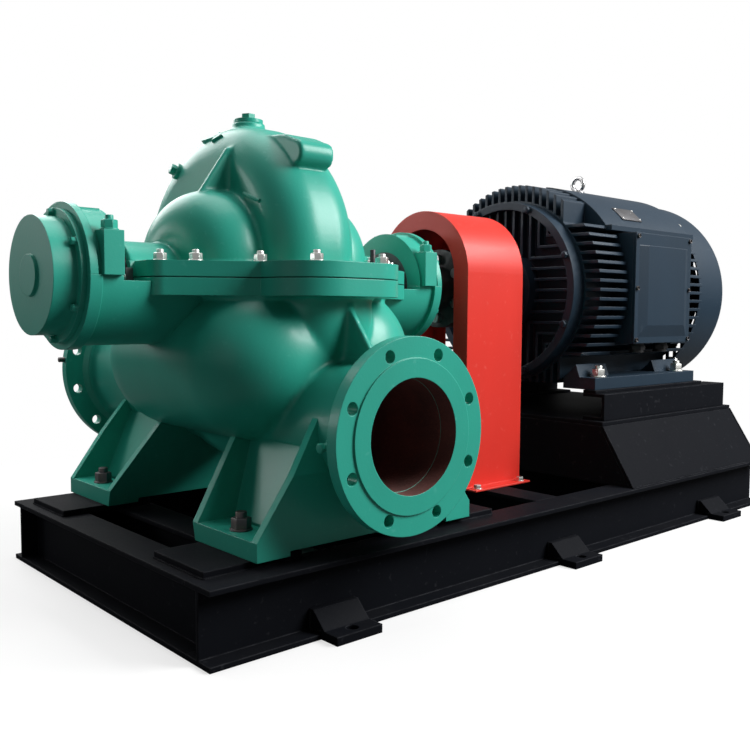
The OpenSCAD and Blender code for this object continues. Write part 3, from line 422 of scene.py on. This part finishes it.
def add_rod(shape, low, high, radius, sides, chamfer):
    """A round or many-sided bar along +Z with its upper rim chamfered."""
    made = bmesh.ops.create_cone(
        shape, cap_ends=True, segments=sides, radius1=radius, radius2=radius, depth=high - low,
        matrix=Matrix.Translation((0, 0, (low + high) / 2)),
    )
    top = {vert for vert in made["verts"] if abs(vert.co.z - high) < TOUCH}
    round_off(shape, [edge for edge in shape.edges if top.issuperset(edge.verts)], chamfer)


def stacked(*rods):
    """A bmesh of bars along +Z, each with its low end, high end, radius, sides and chamfer in millimetres."""
    shape = bmesh.new()
    for low, high, radius, sides, chamfer in rods:
        add_rod(shape, low * MM, high * MM, radius * MM, sides, chamfer * MM)
    return shape


def nut_and_stud(across, height, stud_r, stud_out):
    """A washer, a hexagon nut with a turned upper rim and the stud's end above it, in millimetres."""
    seat = 0.1 * across
    return stacked(
        (0, seat, 0.66 * across, 28, 0.03 * across),
        (seat, seat + height, across / math.sqrt(3), 6, 0.08 * across),
        (seat, seat + height + stud_out, stud_r, 20, 0.2 * stud_r),
    )


def hex_bolt(across, height):
    """A washer and a hexagon head with a turned upper rim, in millimetres."""
    seat = 0.1 * across
    return stacked(
        (0, seat, 0.68 * across, 28, 0.03 * across),
        (seat, seat + height, across / math.sqrt(3), 6, 0.1 * across),
    )


def socket_screw(radius, height):
    """A round screw head with a sunk socket, in millimetres."""
    shape = stacked((0, height, radius, 24, 0.14 * radius))
    top = max(shape.faces, key=lambda face: face.calc_center_median().z)
    bmesh.ops.inset_region(shape, faces=[top], thickness=0.45 * radius * MM)
    bmesh.ops.translate(shape, verts=top.verts, vec=(0, 0, -0.6 * height * MM))
    return shape


def weld_bead(start, end, size, side):
    """Places of a weld's overlapping ripples along a line, leaning to a side."""
    start, end = Vector(start), Vector(end)
    count = max(2, round((end - start).length / (RIPPLE_PITCH * size)))
    along = (end - start).normalized()
    across = Vector(side).normalized()
    turn = Matrix((along, across, along.cross(across))).transposed().to_4x4()
    scale = Matrix.Diagonal((RIPPLE_LENGTH * size, size, size, 1))
    return [Matrix.Translation(start.lerp(end, (i + 0.5) / count)) @ turn @ scale for i in range(count)]


def cad_shape(*nodes, swell=0.0):
    """One bmesh of CAD nodes with their triangles merged, swollen a little where they grow together."""
    shape = bmesh.new()
    for node in nodes:
        part = bmesh.new()
        part.from_mesh(frame["nodes"][node].data)
        bmesh.ops.remove_doubles(part, verts=part.verts, dist=MERGE)
        part.normal_update()
        if swell:
            for vert in part.verts:
                vert.co += vert.normal * swell
        mesh = bpy.data.meshes.new("part")
        part.to_mesh(mesh)
        part.free()
        shape.from_mesh(mesh)
        bpy.data.meshes.remove(mesh)
    return shape


def cast_skin(shape, grid, rounds):
    """A bmesh of the skin over a shape, with the soft edges and fillets of a casting."""
    mesh = bpy.data.meshes.new("raw_casting")
    shape.to_mesh(mesh)
    shape.free()
    raw = bpy.data.objects.new("raw_casting", mesh)
    bpy.context.scene.collection.objects.link(raw)
    remesh = raw.modifiers.new("skin", "REMESH")
    remesh.mode = "VOXEL"
    remesh.voxel_size = grid
    relax = raw.modifiers.new("relax", "SMOOTH")
    relax.factor = 0.5
    relax.iterations = rounds
    ready = raw.evaluated_get(bpy.context.evaluated_depsgraph_get()).to_mesh()
    skin = bmesh.new()
    skin.from_mesh(ready)
    bpy.data.objects.remove(raw)
    bpy.data.meshes.remove(mesh)
    return skin


def cut_off(shape, place, normal):
    """Cuts a shape at a plane, drops what lies on the normal's side and gives the edges of the cut."""
    geometry = shape.verts[:] + shape.edges[:] + shape.faces[:]
    cut = bmesh.ops.bisect_plane(
        shape, geom=geometry, dist=TOUCH, plane_co=place, plane_no=normal, clear_outer=True
    )
    return [item for item in cut["geom_cut"] if isinstance(item, bmesh.types.BMEdge)]


def open_ring(shape, y, normal):
    """Cuts off a hollow neck across Y and closes the wall's cut end."""
    bmesh.ops.bridge_loops(shape, edges=cut_off(shape, (0, y, 0), normal))


# Pump castings

DISCHARGE_Z = SHAFT_Z - 269 * MM
SUCTION_Z = SHAFT_Z - 200 * MM
DISCHARGE_BORE = 100 * MM
SUCTION_BORE = 125 * MM
FLANGE_BACK = 40 * MM
FRONT_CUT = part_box("discharge_nozzle")[0].y + FLANGE_BACK
BACK_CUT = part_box("suction_nozzle")[1].y - FLANGE_BACK
NECK_LAP = 3 * MM
SKIN_SLACK = 3 * MM
FLANGE_SLACK = 0.2 * MM
BORE_START = 200 * MM
BORE_LEAN = 0.3
SWELL = 0.8 * MM
LOWER_GRID = 5.1 * MM
LOWER_ROUNDS = 4
UPPER_GRID = 3.7 * MM
UPPER_ROUNDS = 3
SPLIT_TOP = SHAFT_Z + 28 * MM
SPLIT_LOW = SHAFT_Z - 31 * MM
SPLIT_SKIM = 0.3 * MM
PROUD = 2 * MM
SIDEWAYS = 0.2


def line_bore(shape, axis_z, radius, side):
    """Gives the faces inside a nozzle's bore the second material."""
    shape.normal_update()
    for face in shape.faces:
        centre = face.calc_center_median()
        out = Vector((centre.x - PUMP_X, 0, centre.z - axis_z))
        inward = face.normal.dot(out) < BORE_LEAN * out.length
        if out.length < radius and centre.y * side > BORE_START and inward:
            face.material_index = 1


def lower_body():
    """Suction chambers, volute and nozzle necks grown together as one casting."""
    raw = cad_shape("lower_casing", "discharge_nozzle", "suction_nozzle", swell=SWELL)
    shape = cast_skin(raw, LOWER_GRID, LOWER_ROUNDS)
    open_ring(shape, FRONT_CUT - NECK_LAP, FRONT)
    open_ring(shape, BACK_CUT + NECK_LAP, -FRONT)
    line_bore(shape, DISCHARGE_Z, DISCHARGE_BORE + SKIN_SLACK, -1)
    line_bore(shape, SUCTION_Z, SUCTION_BORE + SKIN_SLACK, 1)
    body = add_piece("pump_lower_body", shape, [PUMP_GREEN, BORE_RUST], crisp=False)
    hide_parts("lower_casing")


def upper_body():
    """Volute crown, suction chambers, ribs and lifting ears with their cast fillets."""
    shape = cast_skin(cad_shape("upper_casing"), UPPER_GRID, UPPER_ROUNDS)
    body = add_piece("pump_upper_body", shape, [PUMP_GREEN], crisp=False)
    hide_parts("upper_casing")


def nozzle_flange(name, node, cut, axis_z, bore):
    """A nozzle's machined flange, cut off behind its hub."""
    side = math.copysign(1, cut)
    shape = cad_shape(node)
    open_ring(shape, cut, (0, -side, 0))
    line_bore(shape, axis_z, bore + FLANGE_SLACK, side)
    flange = add_piece(name, shape, [PUMP_GREEN, BORE_RUST])
    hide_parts(node)


def split_plate(name, node, level, away):
    """A machined half of the split flange, a hair proud of its casting and a hair clear of the other half."""
    shape = cad_shape(node)
    rim = cut_off(shape, (0, 0, level + away * SPLIT_SKIM), (0, 0, away))
    bmesh.ops.triangle_fill(shape, use_beauty=True, edges=rim, normal=(0, 0, away))
    shape.normal_update()
    for vert in shape.verts:
        side = Vector((vert.normal.x, vert.normal.y, 0))
        if side.length > SIDEWAYS:
            vert.co += side.normalized() * PROUD
        vert.co.z += away * PROUD / 2
    add_piece(name, shape, [PUMP_GREEN])


lower_body()
upper_body()
nozzle_flange("discharge_flange", "discharge_nozzle", FRONT_CUT, DISCHARGE_Z, DISCHARGE_BORE)
nozzle_flange("suction_flange", "suction_nozzle", BACK_CUT, SUCTION_Z, SUCTION_BORE)
split_plate("upper_split_flange", "upper_casing", SPLIT_TOP, 1)
split_plate("lower_split_flange", "lower_casing", SPLIT_LOW, -1)


# Pump fasteners and fittings. Places without MM are millimetres from the pump's centre on the shaft.

NUT_SEAT = 29
NUT_RING = [(276, 106), (228, 146), (130, 203)]
FRONT_NUTS = [(x, -y) for x, y in NUT_RING] + [(77, -299)]
BACK_NUTS = NUT_RING + [(117, 272), (77, 361)]
JACKING_PLACE = (40, -314, 28)
FOOT_HEIGHT = 170 * MM
FOOT_TOP = (FOOT_HEIGHT - SHAFT_Z) / MM
FOOT_BOLT_X = 218
FOOT_BOLT_Y = 272
CAP_NUT_X = 374
CAP_NUT_Y = 116
CAP_LUG_TOP = 75
COVER_SCREW_X = 424
COVER_CIRCLE = 110
GLAND_STUD_Y = 64
GLAND_SINK = 4
GLAND_SEAT = (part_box("drive_gland")[1].x - PUMP_X) / MM - GLAND_SINK
PLUG_PLACE = (88, 166, 235)
PLUG_AXIS = (0.92, 0.19, 0.35)
DRAIN_AXIS = Vector((-1, 0, -0.1)).normalized()
DRAIN_Y = -395 * MM
DRAIN_SEAT = 118 * MM
STUB_PLACE = Vector((PUMP_X - 196 * MM, 527 * MM, SUCTION_Z + 24 * MM))
ARROW_PLACE = (-74, 55, 288)
ARROW_AXIS = (-0.71, 0, 0.7)
ARROW_BAR = (8 * MM, 56 * MM, 12 * MM)
ARROW_HEAD = 17 * MM
ARROW_TIP = 30 * MM
ARROW_EDGE = 1.2 * MM
BAR_START = (-97, -100, 163)
BAR_END = (-95, -150, 145)


def split_nuts():
    """Zinc nuts on the studs round the split flange, with a taller jacking stud at the front."""
    spots = [at_pump(side * x, y, NUT_SEAT) for x, y in FRONT_NUTS + BACK_NUTS for side in SIDES]
    nut = nut_and_stud(across=20, height=12, stud_r=6.5, stud_out=6)
    shape = scatter(nut, [pointing(spot, UP) for spot in spots])
    add_piece("split_flange_nuts", shape, [ZINC])
    shape = scatter(stacked((0, 26, 5, 20, 1)), [pointing(at_pump(*JACKING_PLACE), UP)])
    add_piece("jacking_stud", shape, [BLACK_OXIDE])


def foot_bolts():
    """Dark holding-down bolts in the pump's feet."""
    spots = [at_pump(end * FOOT_BOLT_X, side * FOOT_BOLT_Y, FOOT_TOP) for end in SIDES for side in SIDES]
    nut = nut_and_stud(across=30, height=19, stud_r=10, stud_out=10)
    shape = scatter(nut, [pointing(spot, UP) for spot in spots])
    add_piece("pump_foot_bolts", shape, [BLACK_OXIDE])


def bearing_bolts():
    """Nuts on the bearing caps' lugs and screws round the end covers."""
    spots = [at_pump(end * CAP_NUT_X, side * CAP_NUT_Y, CAP_LUG_TOP) for end in SIDES for side in SIDES]
    nut = nut_and_stud(across=24, height=15, stud_r=7, stud_out=8)
    shape = scatter(nut, [pointing(spot, UP) for spot in spots])
    add_piece("bearing_cap_nuts", shape, [PUMP_GREEN])
    places = []
    for end in SIDES:
        ring = shaft_ring(PUMP_X + end * COVER_SCREW_X * MM, COVER_CIRCLE * MM, 6)
        places += [pointing(spot, (end, 0, 0)) for spot, _ in ring]
    add_piece("end_cover_screws", scatter(hex_bolt(across=12, height=8), places), [PUMP_GREEN])


def gland_nuts():
    """Studs and nuts that hold the glands to the stuffing boxes."""
    places = [pointing(at_pump(end * GLAND_SEAT, side * GLAND_STUD_Y, 0), (end, 0, 0))
              for end in SIDES for side in SIDES]
    shape = scatter(nut_and_stud(across=16, height=8, stud_r=5, stud_out=8), places)
    add_piece("gland_nuts", shape, [ZINC])


def casing_fittings():
    """Drain fitting on the discharge neck, plugs in the volute's flanks and a stub on the suction flange."""
    drain = stacked((-6, 10, 11, 6, 1), (10, 22, 7, 16, 1), (22, 30, 9, 6, 1))
    spot = Vector((PUMP_X, DRAIN_Y, DISCHARGE_Z)) + DRAIN_AXIS * DRAIN_SEAT
    add_piece("drain_fitting", scatter(drain, [pointing(spot, DRAIN_AXIS)]), [PUMP_GREEN])
    plug = stacked((-6, 7, 17, 24, 1.5), (7, 18, 11, 6, 1))
    x, y, z = PLUG_PLACE
    lean_x, lean_y, lean_z = PLUG_AXIS
    places = [pointing(at_pump(end * x, y, z), (end * lean_x, lean_y, lean_z)) for end in SIDES]
    add_piece("gauge_plugs", scatter(plug, places), [PUMP_GREEN])
    stub = scatter(stacked((-10, 14, 6, 20, 1.5)), [pointing(STUB_PLACE, PUMP_END)])
    add_piece("suction_flange_stub", stub, [BLACK_OXIDE])


def casting_marks():
    """A plain raised arrow on the volute's shoulder and a short bar on its flank."""
    arrow = bmesh.new()
    bmesh.ops.create_cube(arrow, size=1, matrix=Matrix.Diagonal((*ARROW_BAR, 1)))
    bmesh.ops.create_cone(
        arrow, cap_ends=True, segments=3, radius1=ARROW_HEAD, radius2=ARROW_HEAD, depth=ARROW_BAR[2],
        matrix=Matrix.Translation((0, ARROW_TIP, 0)),
    )
    round_off(arrow, arrow.edges[:], ARROW_EDGE)
    place = pointing(at_pump(*ARROW_PLACE), ARROW_AXIS) @ Matrix.Rotation(math.pi, 4, "Z")
    add_piece("rotation_arrow", scatter(arrow, [place]), [PUMP_GREEN])
    start, end = at_pump(*BAR_START), at_pump(*BAR_END)
    bar = stacked((0, (end - start).length / MM, 4, 20, 2))
    add_piece("casting_bar", scatter(bar, [pointing(start, end - start)]), [PUMP_GREEN])


split_nuts()
foot_bolts()
bearing_bolts()
gland_nuts()
casing_fittings()
casting_marks()


# Base, pedestal and guard

THIN_BEAD = 3 * MM
WIDE_BEAD = 3.5 * MM
LUG_X = (-650 * MM, 0, 650 * MM)
LUG_HALF = 49 * MM
LUG_DEPTH = 30 * MM
LUG_LOW = 11 * MM
LUG_HIGH = 42 * MM
TOE_OUT = 2 * MM
TOE_HIGH = 15 * MM
TOE_LOW = 9.5 * MM
SOLE_LENGTH = 190 * MM
SOLE_WIDTH = 160 * MM
GUARD_SHEET = 4 * MM
GUARD_BOLT_IN = 22 * MM
GUARD_BOLT_OUT = 15 * MM


def lug_welds(edge_y):
    """Beads up the ends of the anchor lugs and along the beam's lower flange beside them."""
    places = []
    for x in LUG_X:
        for side in SIDES:
            for end in SIDES:
                foot = Vector((x + end * LUG_HALF, -side * edge_y, 0))
                low = foot + Vector((0, -side * LUG_DEPTH, LUG_LOW))
                high = foot + Vector((0, -side * LUG_DEPTH, LUG_HIGH))
                places += weld_bead(low, high, THIN_BEAD, (0, side, 0))
                toe = foot + Vector((0, side * TOE_OUT, TOE_HIGH))
                heel = foot + Vector((0, -side * LUG_DEPTH, TOE_LOW))
                places += weld_bead(toe, heel, THIN_BEAD, UP)
    return places


def sole_welds(top):
    """Beads along the outer edges of the four sole plates."""
    places = []
    low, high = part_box("pump_sole_plates")
    for y in (low.y, high.y):
        places += weld_bead((low.x, y, top), (low.x + SOLE_LENGTH, y, top), WIDE_BEAD, UP)
        places += weld_bead((high.x - SOLE_LENGTH, y, top), (high.x, y, top), WIDE_BEAD, UP)
    for x in (low.x, high.x):
        places += weld_bead((x, low.y, top), (x, low.y + SOLE_WIDTH, top), WIDE_BEAD, UP)
        places += weld_bead((x, high.y - SOLE_WIDTH, top), (x, high.y, top), WIDE_BEAD, UP)
    return places


def pedestal_welds(top):
    """Beads along the foot and up both ends of the pedestal's sloped plates."""
    places = []
    low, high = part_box("pedestal_front_plate")
    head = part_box("pedestal_top_plate")[0]
    for side in SIDES:
        for x in (low.x, high.x):
            places += weld_bead((x, -side * low.y, top), (x, -side * head.y, head.z), THIN_BEAD, (1, 0, 0))
        places += weld_bead((low.x, -side * low.y, top), (high.x, -side * low.y, top), WIDE_BEAD, UP)
    return places


def base_welds():
    """Weld beads where beams, lugs, sole plates and pedestal meet."""
    low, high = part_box("base_front_beam")
    places = lug_welds(low.y) + sole_welds(high.z) + pedestal_welds(high.z)
    bead = bmesh.new()
    bmesh.ops.create_icosphere(bead, subdivisions=1, radius=1)
    add_piece("base_welds", scatter(bead, places), [BASE_BLACK], crisp=False)


def guard_bolts():
    """Zinc bolts through the guard's feet."""
    low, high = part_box("coupling_guard")
    places = [pointing((x, side * (high.y - GUARD_BOLT_OUT), low.z + GUARD_SHEET), UP)
              for x in (low.x + GUARD_BOLT_IN, high.x - GUARD_BOLT_IN) for side in SIDES]
    add_piece("guard_foot_bolts", scatter(hex_bolt(across=16, height=8), places), [ZINC])


base_welds()
guard_bolts()


# Motor fittings

FOOT_THICK = 30 * MM
FOOT_BOLT_IN = 52 * MM
FOOT_BOLT_OUT = 26 * MM
SHIELD_SEAT = 12 * MM
SHIELD_CIRCLE = 222 * MM
CAP_CIRCLE = 66 * MM
LID_SEAT = 10 * MM
LID_SCREW_IN = 9 * MM
COWL_SCREW_IN = 14 * MM
PLATE_SIZE = (92 * MM, 48 * MM, 4 * MM)
PLATE_EDGE = 1 * MM
PLATE_X = 507 * MM
HOOD_RADIUS = 284.5 * MM
PLATE_OUT = Vector((0, -0.69, 0.72)).normalized()
PLATE_PLACE = Vector((PLATE_X, 0, SHAFT_Z)) + PLATE_OUT * HOOD_RADIUS
RIVET_RADIUS = 2.6 * MM
RIVET_X = 40 * MM
RIVET_Y = 18 * MM
FAN_RIBS = 12
FAN_RIB_SIZE = (164 * MM, 4 * MM, 8 * MM)
FAN_RIB_PLACE = (126 * MM, 0, 7 * MM)


def foot_and_shield_bolts():
    """Bolts in the motor's feet and round its drive end shield and bearing cap."""
    low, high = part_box("motor_feet")
    places = [pointing((x, side * (high.y - FOOT_BOLT_OUT), low.z + FOOT_THICK), UP)
              for x in (low.x + FOOT_BOLT_IN, high.x - FOOT_BOLT_IN) for side in SIDES]
    shape = scatter(nut_and_stud(across=30, height=18, stud_r=10, stud_out=8), places)
    add_piece("motor_foot_bolts", shape, [ZINC])
    ring = shaft_ring(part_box("motor_drive_shield")[0].x + SHIELD_SEAT, SHIELD_CIRCLE, 8)
    shape = scatter(hex_bolt(across=15, height=9), [pointing(spot, PUMP_END) for spot, _ in ring])
    add_piece("shield_bolts", shape, [MOTOR_SLATE])
    ring = shaft_ring(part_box("motor_bearing_cap")[0].x, CAP_CIRCLE, 4)
    shape = scatter(hex_bolt(across=14, height=8), [pointing(spot, PUMP_END) for spot, _ in ring])
    add_piece("bearing_cap_screws", shape, [MOTOR_SLATE])


def lid_and_cowl_screws():
    """Screws of the terminal box's lid and of the fan cowl."""
    low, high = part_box("terminal_box_lid")
    levels = (low.z + LID_SCREW_IN, (low.z + high.z) / 2, high.z - LID_SCREW_IN)
    places = [pointing((x, low.y + LID_SEAT, z), FRONT)
              for x in (low.x + LID_SCREW_IN, high.x - LID_SCREW_IN) for z in levels]
    shape = scatter(socket_screw(radius=5.5, height=5), places)
    add_piece("lid_screws", shape, [BLACK_OXIDE])
    low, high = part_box("fan_cowl")
    ring = shaft_ring(low.x + COWL_SCREW_IN, high.y, 4)
    shape = scatter(hex_bolt(across=12, height=6), [pointing(spot, out) for spot, out in ring])
    add_piece("cowl_screws", shape, [ZINC])


def hood_plate():
    """A blank plate with four rivets on the motor's hood."""
    place = pointing(PLATE_PLACE, PLATE_OUT)
    plate = bmesh.new()
    bmesh.ops.create_cube(plate, size=1, matrix=Matrix.Diagonal((*PLATE_SIZE, 1)))
    round_off(plate, plate.edges[:], PLATE_EDGE)
    add_piece("hood_plate", scatter(plate, [place]), [DARK_IRON])
    rivet = bmesh.new()
    bmesh.ops.create_uvsphere(rivet, u_segments=16, v_segments=8, radius=RIVET_RADIUS)
    places = [place @ Matrix.Translation((end * RIVET_X, side * RIVET_Y, PLATE_SIZE[2] / 2))
              for end in SIDES for side in SIDES]
    add_piece("hood_plate_rivets", scatter(rivet, places), [ZINC])


def fan_plate():
    """The fan's back plate with its hub and stiffening ribs."""
    plate = stacked((0, 4, 216, 96, 1), (4, 20, 46, 48, 3))
    for step in range(FAN_RIBS):
        turn = Matrix.Rotation(math.radians(360 / FAN_RIBS * step), 4, "Z")
        rib = turn @ Matrix.Translation(FAN_RIB_PLACE) @ Matrix.Diagonal((*FAN_RIB_SIZE, 1))
        bmesh.ops.create_cube(plate, size=1, matrix=rib)
    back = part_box("motor_fan")[1].x
    shape = scatter(plate, [pointing((back, 0, SHAFT_Z), -PUMP_END)])
    add_piece("fan_back_plate", shape, [BLACK_PLASTIC], body="rotor")


foot_and_shield_bolts()
lid_and_cowl_screws()
hood_plate()
fan_plate()


# Finishes of the CAD nodes

def dress(material, *nodes):
    """Gives CAD nodes a finish through their objects' slots."""
    for node in nodes:
        for entry in frame["nodes"][node].material_slots:
            entry.link = "OBJECT"
            entry.material = material


dress(
    BASE_BLACK, "base_front_beam", "base_back_beam", "base_pump_end_beam", "base_motor_end_beam",
    "base_cross_beams", "anchor_lugs", "pump_sole_plates", "pedestal_front_plate", "pedestal_back_plate",
    "pedestal_pump_end_plate", "pedestal_motor_end_plate", "pedestal_top_plate", "motor_rails", "motor_shims",
)
dress(
    PUMP_GREEN, "pump_legs", "bearing_brackets", "vent_plug", "far_bearing_cap", "drive_bearing_cap",
    "far_end_cover", "drive_end_cover",
)
dress(
    DARK_IRON, "far_gland", "drive_gland", "far_bearing", "drive_bearing", "coupling_pump_half",
    "coupling_motor_half",
)
dress(STEEL, "pump_shaft", "motor_shaft", "coupling_pins_set", "eye_bolt")
dress(GUARD_RED, "coupling_guard")
dress(
    MOTOR_SLATE, "motor_frame", "motor_feet", "motor_drive_shield", "motor_bearing_cap", "motor_far_shield",
    "fan_cowl", "terminal_box", "terminal_box_lid",
)
dress(BLACK_PLASTIC, "slinger_rings", "motor_fan", "cable_glands")


# Studio

ROOM_LIGHT = 0.03
ROOM_SHINE = 0.3
FLOOR_HALF = 30
FLOOR_DARK = 0.12
FLOOR_PALE = 0.93
FLOOR_SPECKLE = 0.05
# Where the painted shade under the base gives way to the pale floor, beyond the base's outline.
PAINTED_SHADE_EDGE = (-0.06, 0.01)
NEAR_GLOW = 0.7
GLOW_REACH = (0.15, 1.2)


def add_lamp(name, place, aim, size, power):
    """A soft square lamp that looks at a point."""
    data = bpy.data.lights.new(name, "AREA")
    data.shape = "SQUARE"
    data.size = size
    data.energy = power
    lamp = bpy.data.objects.new(name, data)
    bpy.context.scene.collection.objects.link(lamp)
    lamp.matrix_world = pointing(place, Vector(place) - Vector(aim))


def set_room():
    """A world that is white to the camera, dimmer in reflections and dark as a light."""
    world = bpy.data.worlds.new("white_room")
    bpy.context.scene.world = world
    world.use_nodes = True
    room = Finish(world.node_tree)
    seen = room.ray("Is Camera Ray").larger(room.ray("Is Transmission Ray"))
    level = ROOM_LIGHT + seen * (1 - ROOM_LIGHT) + room.ray("Is Glossy Ray") * ROOM_SHINE
    back = room.node("ShaderNodeBackground", None, {"Color": grey(1), "Strength": level})
    room.node("ShaderNodeOutputWorld", None, {"Surface": back})


def set_lamps():
    """A main lamp at the front right, a soft one above, two windows behind and a faint fill at the left."""
    add_lamp("front_lamp", place=(1.9, -2.5, 2.7), aim=(-0.3, 0, 0.5), size=2.2, power=262)
    add_lamp("top_lamp", place=(-0.4, 0.4, 3.4), aim=(-0.2, 0, 0.5), size=2.2, power=46)
    add_lamp("back_window", place=(-0.6, 2.8, 2.6), aim=(-0.4, 0, 0.6), size=2.2, power=85)
    add_lamp("low_window", place=(-3.3, 2.9, 1.4), aim=(-0.6, 0, 0.4), size=1.0, power=24)
    add_lamp("left_lamp", place=(-3.4, -0.9, 1.0), aim=(-0.5, 0, 0.3), size=1.6, power=3)


def floor_finish():
    """White to the camera with the shadow kept round the base, painted shade on the floor under the base, and
    dark to other rays.
    """
    material, finish = new_finish("studio_floor")
    seen = finish.ray("Is Camera Ray")
    spread = finish.vector("ABSOLUTE", [finish.place()])
    beyond = finish.vector("SUBTRACT", (spread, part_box("base_back_beam")[1]))
    away = finish.part(beyond, "X").larger(finish.part(beyond, "Y"))
    clear_of_painted_shade = finish.rise(away, *PAINTED_SHADE_EDGE)
    # Inside the base's outline the camera sees the dark grey: painted shade on the floor.
    pale = finish.mix(seen * clear_of_painted_shade, grey(FLOOR_DARK), grey(FLOOR_PALE))
    speckled = finish.mix(finish.noise(3, 2) * FLOOR_SPECKLE, pale, grey(0.5))
    plain = finish.node("ShaderNodeBsdfDiffuse", None, {"Color": speckled})
    glow = finish.node("ShaderNodeEmission", None, {"Color": grey(1), "Strength": 1.0})
    share = NEAR_GLOW * clear_of_painted_shade + (1 - NEAR_GLOW) * finish.rise(away, *GLOW_REACH)
    blend = finish.node("ShaderNodeMixShader", None, {0: seen * share, 1: plain, 2: glow})
    finish.node("ShaderNodeOutputMaterial", None, {"Surface": blend})
    return material


def set_floor():
    """The plain floor under the base."""
    floor = bmesh.new()
    bmesh.ops.create_grid(floor, x_segments=1, y_segments=1, size=FLOOR_HALF)
    mesh = bpy.data.meshes.new("studio_floor")
    floor.to_mesh(mesh)
    floor.free()
    mesh.materials.append(floor_finish())
    ground = bpy.data.objects.new("studio_floor", mesh)
    bpy.context.scene.collection.objects.link(ground)


set_camera()
set_room()
set_lamps()
set_floor()
bpy.context.scene.view_settings.view_transform = "Standard"
